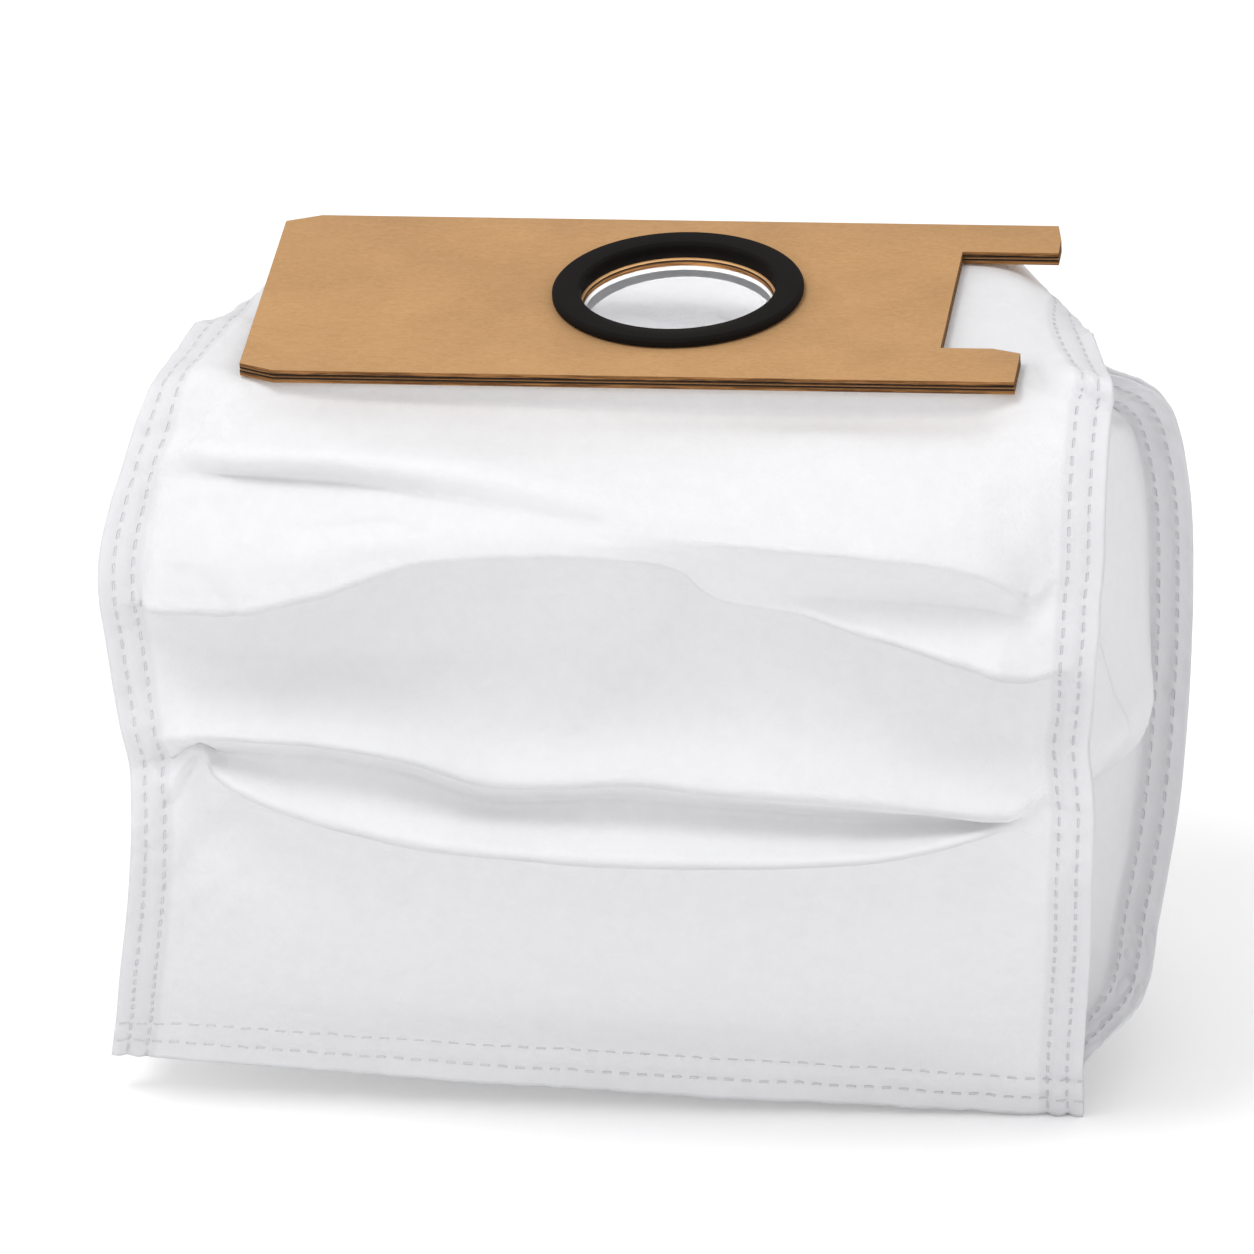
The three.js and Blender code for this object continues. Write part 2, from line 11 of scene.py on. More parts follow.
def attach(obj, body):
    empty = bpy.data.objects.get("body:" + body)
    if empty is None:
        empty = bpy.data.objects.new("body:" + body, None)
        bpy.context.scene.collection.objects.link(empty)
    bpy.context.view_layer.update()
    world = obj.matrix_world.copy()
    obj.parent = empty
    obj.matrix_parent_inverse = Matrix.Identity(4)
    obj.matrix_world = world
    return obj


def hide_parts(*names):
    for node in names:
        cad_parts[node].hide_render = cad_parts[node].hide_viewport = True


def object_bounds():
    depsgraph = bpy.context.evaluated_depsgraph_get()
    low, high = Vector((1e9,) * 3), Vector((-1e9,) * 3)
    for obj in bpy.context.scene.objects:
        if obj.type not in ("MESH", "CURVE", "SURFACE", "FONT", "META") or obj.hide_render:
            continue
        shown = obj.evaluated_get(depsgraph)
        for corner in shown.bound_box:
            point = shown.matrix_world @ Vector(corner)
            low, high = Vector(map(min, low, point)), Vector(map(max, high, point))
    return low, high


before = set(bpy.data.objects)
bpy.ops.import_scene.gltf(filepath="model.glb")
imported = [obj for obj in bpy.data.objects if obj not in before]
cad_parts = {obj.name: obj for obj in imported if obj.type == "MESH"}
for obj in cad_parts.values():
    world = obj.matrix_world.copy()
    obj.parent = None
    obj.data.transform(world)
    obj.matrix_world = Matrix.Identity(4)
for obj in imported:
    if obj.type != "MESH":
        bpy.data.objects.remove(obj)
cad_box = [[float(v) for v in corner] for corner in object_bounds()]
MM = 0.001

# Photo studio: a painted floor under the bag and a white surround. One soft box hangs over
# the bag, three fills stand round it, and a narrow spot shines in through the inlet. A long
# lens looks down on the card from the front, a bit rolled.


def linear(hex_colour):
    channels = [int(hex_colour[i : i + 2], 16) / 255 for i in (1, 3, 5)]
    return (*[c / 12.92 if c <= 0.04045 else ((c + 0.055) / 1.055) ** 2.4 for c in channels], 1)


def add_node(material, kind, settings=None, links=None):
    """Adds a node; settings name its properties or sockets, links feed its sockets."""
    node = material.node_tree.nodes.new(kind)
    for name, value in (settings or {}).items():
        if isinstance(name, int) or name in node.inputs:
            node.inputs[name].default_value = value
        else:
            setattr(node, name, value)
    for name, source in (links or {}).items():
        material.node_tree.links.new(source, node.inputs[name])
    return node


def new_material(name):
    material = bpy.data.materials.new(name)
    material.use_nodes = True
    material.node_tree.nodes.clear()
    return material


def surface(material, shader):
    add_node(material, "ShaderNodeOutputMaterial", links={"Surface": shader})


def from_view(material):
    return add_node(material, "ShaderNodeLightPath").outputs["Is Camera Ray"]


floor_level = cad_box[0][2]
floor_width = 6.0
floor_glow = 0.125
bpy.ops.mesh.primitive_plane_add(size=floor_width, location=(0, 0, floor_level))
floor = bpy.context.object
floor.name = "studio_floor"
painted_board = new_material("painted_white_board")
board_paint = add_node(painted_board, "ShaderNodeBsdfDiffuse", {"Color": linear("#f6f6f6")})
board_glow = add_node(
    painted_board,
    "ShaderNodeEmission",
    {"Color": linear("#ffffff")},
    {"Strength": add_node(
        painted_board,
        "ShaderNodeMath",
        {"operation": "MULTIPLY", 1: floor_glow},
        {0: from_view(painted_board)},
    ).outputs[0]},
)
surface(painted_board, add_node(
    painted_board,
    "ShaderNodeAddShader",
    links={0: board_paint.outputs[0], 1: board_glow.outputs[0]},
).outputs[0])
floor.data.materials.append(painted_board)

surround_light = 0.88
backdrop_white = 1.0
world = bpy.data.worlds.new("studio")
world.use_nodes = True
bpy.context.scene.world = world
world.node_tree.nodes.clear()
surround = add_node(world, "ShaderNodeBackground", {"Color": (0.993, 0.992, 1.0, 1)})
brightness = add_node(
    world,
    "ShaderNodeMix",
    {"data_type": "FLOAT", 2: surround_light, 3: backdrop_white},
    {0: from_view(world)},
)
world.node_tree.links.new(brightness.outputs[0], surround.inputs["Strength"])
add_node(world, "ShaderNodeOutputWorld", links={"Surface": surround.outputs[0]})


def soft_box(name, place, target, width, power):
    """A square lamp; its place, target and width are in metres, its power in watts."""
    bpy.ops.object.light_add(type="AREA", location=place)
    lamp = bpy.context.object
    lamp.name = name
    lamp.data.shape = "SQUARE"
    lamp.data.size = width
    lamp.data.energy = power
    aim = Vector(target) - Vector(place)
    lamp.rotation_euler = aim.to_track_quat("-Z", "Y").to_euler()


bag_centre = (0.08, 0, -0.09)
soft_box("overhead_box", (-0.3, -0.52, 1.3), bag_centre, 0.5, 8.4)
soft_box("front_fill", (-0.2, -2.2, -0.02), bag_centre, 1.0, 4.6)
soft_box("right_fill", (1.4, -0.5, -0.05), bag_centre, 0.6, 2.6)
soft_box("left_fill", (-1.9, -0.9, 0.3), bag_centre, 1.0, 3.0)

inlet = (89.0, 1.5)
spot_place = Vector((0.207, -0.869, 0.478))
spot_angle = 2.4
spot_power = 64.0
spot_flatness = 0.48
bpy.ops.object.light_add(type="SPOT", location=spot_place)
inlet_spot = bpy.context.object
inlet_spot.name = "inlet_spot"
inlet_spot.data.spot_size = math.radians(spot_angle)
inlet_spot.data.spot_blend = 0.3
inlet_spot.data.shadow_soft_size = 0.0
inlet_spot.data.energy = spot_power
inlet_aim = Vector((inlet[0] * MM, inlet[1] * MM, 0)) - spot_place
inlet_spot.scale = (1.0, spot_flatness, 1.0)
inlet_spot.rotation_euler = inlet_aim.to_track_quat("-Z", "Y").to_euler()

camera_place = Vector((453.55, -2680.69, 1293.42)) * MM
camera_aim = Vector((79.3, -30.33, -63.28)) * MM
camera_up = Vector((-0.01548, 0.4326, 0.90145))
camera_data = bpy.data.cameras.new("camera")
camera_data.sensor_width = 36
camera_data.lens = 405.3
camera_data.clip_end = 20
camera = bpy.data.objects.new("camera", camera_data)
bpy.context.scene.collection.objects.link(camera)
back = (camera_place - camera_aim).normalized()
right = camera_up.cross(back).normalized()
camera.matrix_world = Matrix((right, back.cross(right), back)).transposed().to_4x4()
camera.location = camera_place
bpy.context.scene.camera = camera
bpy.context.scene.view_settings.view_transform = "Standard"

# Collar card: two plies of kraft liner board, die-cut to one outline and glued together.
# The faces are tan with a mottle of short fibres; the cut edges are darker and layered.

ply_thickness = 1.3
glue_gap = 0.3
edge_wear = 0.12
joint_height = ply_thickness - 0.2
joint_core = 0.5
joint_reach = 0.75
edge_waviness = 0.0007


def take_over(node, name, width):
    """A copy of a card ply, its triangles joined into flat faces and its edges worn soft."""
    bpy.ops.object.select_all(action="DESELECT")
    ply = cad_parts[node].copy()
    ply.data = ply.data.copy()
    ply.name = name
    ply.parent = None
    for key in list(ply.keys()):
        del ply[key]
    ply.data.materials.clear()
    bpy.context.scene.collection.objects.link(ply)
    bpy.context.view_layer.objects.active = ply
    ply.select_set(True)
    bpy.ops.object.mode_set(mode="EDIT")
    bpy.ops.mesh.select_all(action="SELECT")
    bpy.ops.mesh.remove_doubles(threshold=1e-6)
    bpy.ops.mesh.dissolve_limited(angle_limit=math.radians(1))
    bpy.ops.object.mode_set(mode="OBJECT")
    bevel = ply.modifiers.new("worn_edges", "BEVEL")
    bevel.width = width * MM
    bevel.segments = 2
    bevel.limit_method = "ANGLE"
    bevel.angle_limit = math.radians(30)
    bpy.ops.object.modifier_apply(modifier=bevel.name)
    bpy.ops.object.shade_smooth_by_angle(angle=math.radians(35))
    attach(ply, "root")
    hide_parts(node)
    return ply


kraft = new_material("kraft_liner_board")
kraft_place = add_node(kraft, "ShaderNodeTexCoord").outputs["Object"]
long_fibres = add_node(
    kraft, "ShaderNodeMapping", {"Scale": (1.0, 2.2, 1.0)}, {"Vector": kraft_place})
fibre = add_node(
    kraft,
    "ShaderNodeTexNoise",
    {"Scale": 420.0, "Detail": 5.0, "Roughness": 0.65, "Distortion": 1.6},
    {"Vector": long_fibres.outputs[0]},
)
mottle = add_node(
    kraft,
    "ShaderNodeTexNoise",
    {"Scale": 45.0, "Detail": 3.0, "Roughness": 0.5},
    {"Vector": kraft_place},
)
fibre_tone = add_node(
    kraft, "ShaderNodeMapRange", {1: 0.35, 2: 0.65, 3: 0.0, 4: 1.0}, {0: fibre.outputs[0]})
face_tone = add_node(
    kraft,
    "ShaderNodeMix",
    {"data_type": "RGBA", 6: linear("#b0875a"), 7: linear("#bb9265")},
    {0: fibre_tone.outputs[0]},
)
mottle_tone = add_node(
    kraft, "ShaderNodeMapRange", {1: 0.3, 2: 0.7, 3: 0.93, 4: 1.05}, {0: mottle.outputs[0]})
face_colour = add_node(
    kraft,
    "ShaderNodeVectorMath",
    {"operation": "SCALE"},
    {0: face_tone.outputs[2], "Scale": mottle_tone.outputs[0]},
)
edge_streaks = add_node(
    kraft, "ShaderNodeMapping", {"Scale": (90.0, 90.0, 2600.0)}, {"Vector": kraft_place})
streak = add_node(
    kraft,
    "ShaderNodeTexNoise",
    {"Scale": 1.0, "Detail": 4.0, "Roughness": 0.7},
    {"Vector": edge_streaks.outputs[0]},
)
streak_tone = add_node(
    kraft, "ShaderNodeMapRange", {1: 0.42, 2: 0.6, 3: 0.0, 4: 1.0}, {0: streak.outputs[0]})
edge_colour = add_node(
    kraft,
    "ShaderNodeMix",
    {"data_type": "RGBA", 6: linear("#5a3a1d"), 7: linear("#9a6d40")},
    {0: streak_tone.outputs[0]},
)
facing = add_node(
    kraft, "ShaderNodeSeparateXYZ",
    links={0: add_node(kraft, "ShaderNodeTexCoord").outputs["Normal"]})
flat_part = add_node(
    kraft, "ShaderNodeMath", {"operation": "ABSOLUTE"}, {0: facing.outputs["Z"]})
is_face = add_node(
    kraft, "ShaderNodeMapRange", {1: 0.5, 2: 0.8, 3: 0.0, 4: 1.0}, {0: flat_part.outputs[0]})
height = add_node(kraft, "ShaderNodeSeparateXYZ", links={0: kraft_place}).outputs["Z"]
# A dark line along the joint between the plies, wavering a little with the streaks
wavy_height = add_node(
    kraft, "ShaderNodeMath", {"operation": "MULTIPLY_ADD", 1: edge_waviness},
    {0: streak.outputs[0], 2: height})
off_joint = add_node(
    kraft, "ShaderNodeMath", {"operation": "ADD", 1: joint_height * MM},
    {0: wavy_height.outputs[0]})
joint_distance = add_node(
    kraft, "ShaderNodeMath", {"operation": "ABSOLUTE"}, {0: off_joint.outputs[0]})
joint_shade = add_node(
    kraft, "ShaderNodeMapRange", {1: joint_core * MM, 2: joint_reach * MM, 3: 0.97, 4: 0.0},
    {0: joint_distance.outputs[0]})
layered_edge = add_node(
    kraft,
    "ShaderNodeMix",
    {"data_type": "RGBA", 7: linear("#0c0805")},
    {0: joint_shade.outputs[0], 6: edge_colour.outputs[2]},
)
kraft_colour = add_node(
    kraft,
    "ShaderNodeMix",
    {"data_type": "RGBA"},
    {0: is_face.outputs[0], 6: layered_edge.outputs[2], 7: face_colour.outputs[0]},
)
fibre_relief = add_node(
    kraft, "ShaderNodeBump", {"Strength": 0.25, "Distance": 0.00006}, {"Height": fibre.outputs[0]})
surface(kraft, add_node(
    kraft,
    "ShaderNodeBsdfPrincipled",
    {"Roughness": 0.85, "IOR": 1.45, "Specular IOR Level": 0.25},
    {"Base Color": kraft_colour.outputs[2], "Normal": fibre_relief.outputs[0]},
).outputs[0])

upper_ply = take_over("upper_card", "collar_upper_ply", edge_wear)
upper_ply.data.materials.append(kraft)
lower_ply = take_over("lower_card", "collar_lower_ply", edge_wear)
lower_ply.data.materials.append(kraft)

# Seal ring: compression-moulded black rubber. Its neck is pressed through the upper ply and
# its flange lies on the card; the mould leaves the edges round and the skin matt.

mould_radius = 0.25
ring_section = [
    # Radius and height above the card's top face, once round the section
    (20.8, -1.3), (20.8, 1.65), (21.4, 2.3), (26.2, 2.3), (26.8, 1.7), (26.8, 0.6),
    (26.5, 0.3), (22.3, 0.3), (22.3, -1.3),
]
ring_sides = 144
bpy.ops.object.select_all(action="DESELECT")
radius, height = ring_section[0]
bpy.ops.mesh.primitive_circle_add(
    vertices=ring_sides,
    radius=radius * MM,
    location=(inlet[0] * MM, inlet[1] * MM, height * MM),
)
ring = bpy.context.object
ring.name = "seal_ring_rubber"
bpy.ops.object.transform_apply(location=True, rotation=True, scale=True)
bpy.ops.object.mode_set(mode="EDIT")
bpy.ops.mesh.select_all(action="SELECT")
for next_radius, next_height in ring_section[1:] + ring_section[:1]:
    bpy.ops.mesh.extrude_region_move(
        TRANSFORM_OT_translate={"value": (0, 0, (next_height - height) * MM)})
    widen = next_radius / radius
    bpy.ops.transform.resize(
        value=(widen, widen, 1),
        center_override=(inlet[0] * MM, inlet[1] * MM, next_height * MM),
    )
    radius, height = next_radius, next_height
bpy.ops.mesh.select_all(action="SELECT")
bpy.ops.mesh.remove_doubles(threshold=1e-6)
bpy.ops.mesh.normals_make_consistent(inside=False)
bpy.ops.object.mode_set(mode="OBJECT")
rounding = ring.modifiers.new("moulded_edges", "BEVEL")
rounding.width = mould_radius * MM
rounding.segments = 3
rounding.limit_method = "ANGLE"
rounding.angle_limit = math.radians(20)
bpy.ops.object.modifier_apply(modifier=rounding.name)
bpy.ops.object.shade_smooth_by_angle(angle=math.radians(40))

rubber = new_material("moulded_epdm_rubber")
rubber_place = add_node(rubber, "ShaderNodeTexCoord").outputs["Object"]
rubber_grain = add_node(
    rubber,
    "ShaderNodeTexNoise",
    {"Scale": 1800.0, "Detail": 3.0},
    {"Vector": rubber_place},
)
rubber_dust = add_node(
    rubber,
    "ShaderNodeTexNoise",
    {"Scale": 90.0, "Detail": 4.0},
    {"Vector": rubber_place},
)
rubber_tone = add_node(
    rubber,
    "ShaderNodeMix",
    {"data_type": "RGBA", 6: linear("#090706"), 7: linear("#120e0c")},
    {0: rubber_dust.outputs[0]},
)
rubber_relief = add_node(
    rubber, "ShaderNodeBump", {"Strength": 0.2, "Distance": 0.00003},
    {"Height": rubber_grain.outputs[0]})
surface(rubber, add_node(
    rubber,
    "ShaderNodeBsdfPrincipled",
    {"Roughness": 0.8, "IOR": 1.52, "Specular IOR Level": 0.12},
    {"Base Color": rubber_tone.outputs[2], "Normal": rubber_relief.outputs[0]},
).outputs[0])
ring.data.materials.append(rubber)
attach(ring, "root")
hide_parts("seal_ring")

# Front panel: one strip of laminated nonwoven, from the bottom hem up the front, over the
# card's front edge and glued under the card, to a top seam behind it. It hangs in limp
# folds: a wide overhang under the card, a recess, and a second fold with a lip below it.

card_length = 164.5
card_depth = 76.5
side_margin = 24.75
half_width = card_length / 2 + side_margin
bag_shift = -3.5
bag_drop = 181.5
hem_height = 11.5
askew = math.radians(2.46)
solid_fabric = 0.7
glued_plane = -(2 * ply_thickness + glue_gap) - glue_gap - solid_fabric / 2
cloth_thickness = 0.45
cloth_step = 0.9
flange_width = 10.0
weld_pitch = 3.8
weld_length = 1.9
weld_width = 0.5
# Distances of the two rows of welds from a side edge, and from the hem's edge
weld_rows = (3.4, 7.6)
hem_rows = (5.2, 11.0)
flange_strips = 14
inner_strips = 148
tucked_strips = 37
front_pitch = 1.35


def fold_line(datum_y, datum_z, points):
    """One line across the panel, from the edge of its left flange to that of its right one.

    A point is its share of the half width in percent, its reach past the card's edge and its
    drop. The datums say which edge, and whether the drop is from the card's top, from the
    glued cloth or, upwards, from the hem.
    """
    line = []
    for share, reach, drop in points:
        x = bag_shift + share / 100 * half_width
        y = {
            "back": card_depth / 2 + reach,
            "middle": reach,
            "front": -card_depth / 2 - reach,
        }[datum_y]
        z = {
            "top": -drop,
            "card": (x * math.sin(askew) + glued_plane) / math.cos(askew) - drop,
            "hem": -bag_drop + drop,
        }[datum_z]
        line.append((x, y, z))
    return np.array(line)


front_folds = [
    # Top seam: edge and root of its flange, drooping at both ends
    fold_line("back", "top", [(-84, 16, 35.5), (-76, 18, 28.5), (-69, 19, 22.5), (-60, 19, 17),
        (-30, 19, 14), (0, 19, 13.5), (30, 19, 14), (60, 19, 16), (76, 18, 22), (83, 17, 30),
        (90, 14, 39)]),
    fold_line("back", "top", [(-82, 7, 31), (-74, 8, 24), (-69, 9, 17), (-60, 9, 11),
        (-30, 9.5, 9), (0, 9.5, 8.5), (30, 9.5, 8), (60, 9.5, 8.5), (74, 8, 12.5), (80, 8, 19),
        (87, 7, 28)]),
    # Glued under the card
    fold_line("back", "card", [(-82, 0, 21), (-76, 0, 15), (-71, 0, 4), (-60, 0, 0),
        (-57, 0, 0), (57, 0, 0), (60, 0, 0), (67, 0, 0.5), (73, 0, 4), (78.5, 0, 10),
        (85.5, 0, 18.4)]),
    fold_line("middle", "card", [(-83, 20, 13), (-76.5, 20, 6.5), (-72, 20, 1.5),
        (-60, 20, 0), (-57, 20, 0), (63, 20, 0), (66, 20, 0), (74, 20, 0.6), (80.8, 20, 3.2),
        (88.5, 20, 11)]),
    fold_line("middle", "card", [(-86.2, -7, 1.1), (-78, -7, 0), (-74.5, -8, 0), (-71, -8, 0),
        (77, -8, 0), (80.5, -8, 0), (84, -9, 0), (93.4, -10, -0.3)]),
    # Roll from the front prong's tip to the corner of the right seam
    fold_line("front", "card", [(-91, -2, 1.7), (-82, -4, -2.3), (-76, -4, -0.5),
        (-74.5, -4, 0), (-71, -4, 0), (80, -4, 0), (83.5, -4, 0), (88, -4, -1.8),
        (92, -3, -3.8), (99.5, 2, -4.5)]),
    # Turn over the card's front edge
    fold_line("front", "top", [(-93, 2, 15), (-84, 3, 12), (-72, 0.5, 10), (-40, -2.5, 10),
        (0, -2.5, 9.5), (40, -2.5, 8.5), (72, -2, 6), (83, 1, 2.5), (91.5, 1, -0.5),
        (99.5, 3.5, 0)]),
    # Soft dent below the card
    fold_line("front", "top", [(-94, 3.5, 18), (-85.5, 5, 16.5), (-70, 7.5, 13.5),
        (-50, 7, 13), (-30, 6, 13), (-17, 4.5, 13), (9, 4, 12), (30, 5, 10.5),
        (48, 6, 9.5), (68, 6.5, 9), (80, 7, 8.5), (91.2, 8, 5), (99.5, 9.5, 7)]),
    # Swell above the upper crease
    fold_line("front", "top", [(-95, 5, 22), (-87, 8, 20), (-80, 10.5, 17.5),
        (-69.5, 13.5, 17), (-53, 14.5, 16), (-29.5, 17, 16), (-7.5, 18.5, 18.5),
        (10.5, 19.5, 21), (24, 20, 21.5), (40, 20, 22), (60, 20, 22.5), (75, 19, 24),
        (82, 16.5, 26), (91, 13, 20), (99.5, 13.5, 19)]),
    # Upper crease: a valley on the left that turns into a ridge on the right
    fold_line("front", "top", [(-96, 6, 26), (-88, 9.5, 24), (-80, 10.5, 23.5),
        (-70, 10.5, 23.5), (-54, 12, 23), (-39.5, 15, 22.5), (-29.5, 17.5, 22.5),
        (-15.5, 19.5, 23), (-3.5, 20.5, 24), (10.5, 22, 25), (20.5, 22.5, 26.5),
        (32.5, 22.5, 27), (52, 22.5, 27.5), (65.5, 22, 28.5), (75.5, 20.5, 31),
        (81, 18, 35), (85, 14.5, 39), (91, 14.5, 33), (99.5, 15, 32)]),
    # Below the crease: top of the left overhang, underside of the ridge on the right
    fold_line("front", "top", [(-97.5, 8, 31), (-89, 10, 30), (-86, 13.5, 29), (-79.5, 14.5, 29),
        (-69.5, 15.5, 29), (-53, 17, 28), (-39, 19, 26.5), (-29, 20.5, 26),
        (-15, 21.5, 26.5), (-3, 22, 27), (10.5, 22, 28.5), (20.5, 21, 30.5), (32, 19.5, 32),
        (51.5, 18.5, 33.5), (65.5, 18, 35), (75, 17, 36.5), (81, 15.5, 39), (86, 14.7, 42),
        (91, 15, 40), (99, 15.5, 39)]),
    # Brow of the left overhang, gully below the ridge on the right
    fold_line("front", "top", [(-99.8, 11.5, 43), (-90.5, 13, 42), (-87.5, 18, 42), (-79, 20, 41.5),
        (-68.5, 21.5, 38.5), (-52.5, 23, 33), (-38.5, 23.5, 30), (-28.5, 23, 29),
        (-15, 22.5, 28.5), (-3, 22.5, 28.5), (10.5, 21.5, 30), (18.5, 20, 33),
        (24, 17.5, 38), (31.5, 15.5, 41), (39.5, 14.5, 42), (51.5, 14, 42.5),
        (65, 14, 42.5), (75, 14, 43), (85, 15, 44.5), (91, 16, 46), (99, 16, 46)]),
    # Lower edge of the overhang: one sweep on the left, a second one on the right
    fold_line("front", "top", [(-99.8, 13, 54), (-91, 14, 53), (-88, 18.5, 52), (-79, 20, 50.5),
        (-71.5, 21.5, 50), (-62.5, 23, 46.5), (-52.5, 24, 42.5), (-34.5, 24, 34),
        (-19, 23, 32), (-7, 22.5, 31), (8.5, 21, 32), (16.5, 19.5, 35), (20, 17, 40.5),
        (25, 15.2, 44), (31.5, 14.5, 44.8), (39.5, 15.5, 45), (49.5, 17.5, 47.5),
        (60, 19.5, 49.5), (70, 21.5, 52), (78.5, 22.5, 54), (85.5, 20, 56), (91, 17.5, 55),
        (98.5, 16.5, 54)]),
    # Tuck under the overhang
    fold_line("front", "top", [(-99, 12, 62), (-89.5, 11, 60), (-80, 8, 56), (-60, 6.5, 52.5),
        (-40, 8, 45), (-20, 10.5, 40), (0, 12, 38), (15, 10.5, 41), (24, 8, 48),
        (40, 7, 50), (60, 6.5, 55), (78, 7, 60), (90, 12, 61), (98, 14, 62)]),
    # Recess across the middle
    fold_line("front", "top", [(-98, 11, 72), (-88.5, 10, 71), (-75, 6.5, 66), (-50, 5, 64),
        (-20, 5, 58), (0, 5, 56), (20, 4.5, 59), (45, 4.5, 64), (70, 5.5, 69),
        (90, 10, 69), (97.5, 12.5, 69)]),
    # Foot of the recess, where the cloth turns out to the lower fold
    fold_line("front", "top", [(-97, 10, 81), (-87.5, 11, 79), (-70, 11.5, 76), (-50, 12, 75),
        (-22, 8.5, 77), (0, 7, 75), (20, 6.5, 75), (45, 6.5, 77), (70, 6.5, 80),
        (89, 10.5, 76.5), (97, 12, 76)]),
    # Ridge of the lower fold
    fold_line("front", "top", [(-95.8, 9.5, 88), (-86, 12, 86), (-81, 15, 83.5),
        (-60, 19.5, 81.5), (-40, 20, 83.5), (-20, 18.5, 89.5), (-8, 19.5, 88.5),
        (8.5, 20, 86.5), (20, 20, 87.5), (52, 19.5, 88.5), (72, 17.5, 91), (81, 14.5, 92.3),
        (89.5, 12, 85), (98, 13, 84)]),
    # Pocket behind the ridge
    fold_line("front", "top", [(-95, 8, 94), (-85.5, 9, 92), (-80, 10, 86.5), (-76, 11, 89),
        (-60, 12, 88.5), (-40, 12, 91), (-20, 12, 96.5), (5, 12.5, 94), (20, 12.5, 94.5),
        (52, 12.5, 95), (72, 12.5, 94), (81.5, 12.5, 93.2), (90, 12, 91), (98.5, 13.5, 91)]),
    # Lip that hangs below the ridge
    fold_line("front", "top", [(-94.5, 9, 101), (-85, 11, 97), (-80, 13, 88.5),
        (-77, 14.5, 92), (-67.5, 17.5, 97), (-49, 20.5, 101.5), (-29, 23, 103.5),
        (0, 24, 104), (31, 24, 102.5), (52.5, 23, 100.5), (66.5, 20.5, 98),
        (74, 17.5, 96.2), (81.5, 13.5, 95), (90, 12, 98), (98.5, 13, 98)]),
    # Corner under the lip
    fold_line("front", "top", [(-94.6, 10, 110), (-85, 10, 107), (-75, 9, 104),
        (-50, 9.5, 108), (-20, 9.5, 111), (20, 9.5, 111), (50, 9.5, 108), (75, 10, 105),
        (89.5, 11, 107), (98.2, 12, 107)]),
    # Plain wall down to the hem, then the root and the edge of the hem's flange
    fold_line("front", "top", [(-96, 5, 127), (-87, 6, 127), (-50, 5.5, 128), (0, 6, 129),
        (50, 6, 128), (88.5, 4, 127), (97.5, 3, 128)]),
    fold_line("front", "hem", [(-99.6, -5, 28), (-90, -5, 28), (-50, -4, 28), (0, -3.5, 29),
        (50, -4.5, 28), (86, -8, 30), (96, -8, 30)]),
    fold_line("front", "hem", [(-102, -15, hem_height), (-92.5, -15, hem_height),
        (0, -15, hem_height), (86, -15, hem_height), (95, -15, hem_height)]),
    fold_line("front", "hem", [(-103.6, -19, 0.8), (-94, -18.5, 0.8), (-60, -17.5, 0.5),
        (0, -17, 0), (86, -18.5, 0), (95, -19, 0)]),
]
fold_count = len(front_folds)
column_count = 2 * flange_strips + inner_strips + 1
straight_spans = (2, 3, 4, fold_count - 2)


def along_line(points, xs):
    """Smooth course of a fold line between its points, without overshoot."""
    x = points[:, 0]
    slopes = (points[1:, 1:] - points[:-1, 1:]) / np.diff(x)[:, None]
    before, after = slopes[:-1], slopes[1:]
    agree = before * after > 0
    tangents = np.zeros_like(points[:, 1:])
    tangents[1:-1] = np.where(
        agree, 2 * before * after / np.where(agree, before + after, 1), 0)
    tangents[0], tangents[-1] = slopes[0], slopes[-1]
    i = np.clip(np.searchsorted(x, xs) - 1, 0, len(x) - 2)
    span = (x[i + 1] - x[i])[:, None]
    t = np.clip((xs - x[i])[:, None] / span, 0, 1)
    rise = points[i + 1, 1:] - points[i, 1:]
    start_turn = span * tangents[i] - rise
    end_turn = rise - span * tangents[i + 1]
    value = points[i, 1:] + rise * t + t * (1 - t) * (start_turn * (1 - t) + end_turn * t)
    return np.column_stack([xs, value])


def panel_row(line):
    """One row of a panel: flange, inner columns, flange.

    The line's first and last points are the flanges' edges; the next ones give their slant.
    """

    def root_of(edge, towards):
        inward = towards - edge
        return edge + inward * (flange_width / np.linalg.norm(inward))

    left, right = root_of(line[0], line[1]), root_of(line[-1], line[-2])
    course = np.vstack([left, line[2:-2], right])
    inner = along_line(course, np.linspace(left[0], right[0], inner_strips + 1))
    share = np.linspace(0, 1, flange_strips + 1)[:-1, None]
    flange_left = line[0] + (left - line[0]) * share
    flange_right = line[-1] + (right - line[-1]) * share
    return np.vstack([flange_left, inner, flange_right[::-1]])


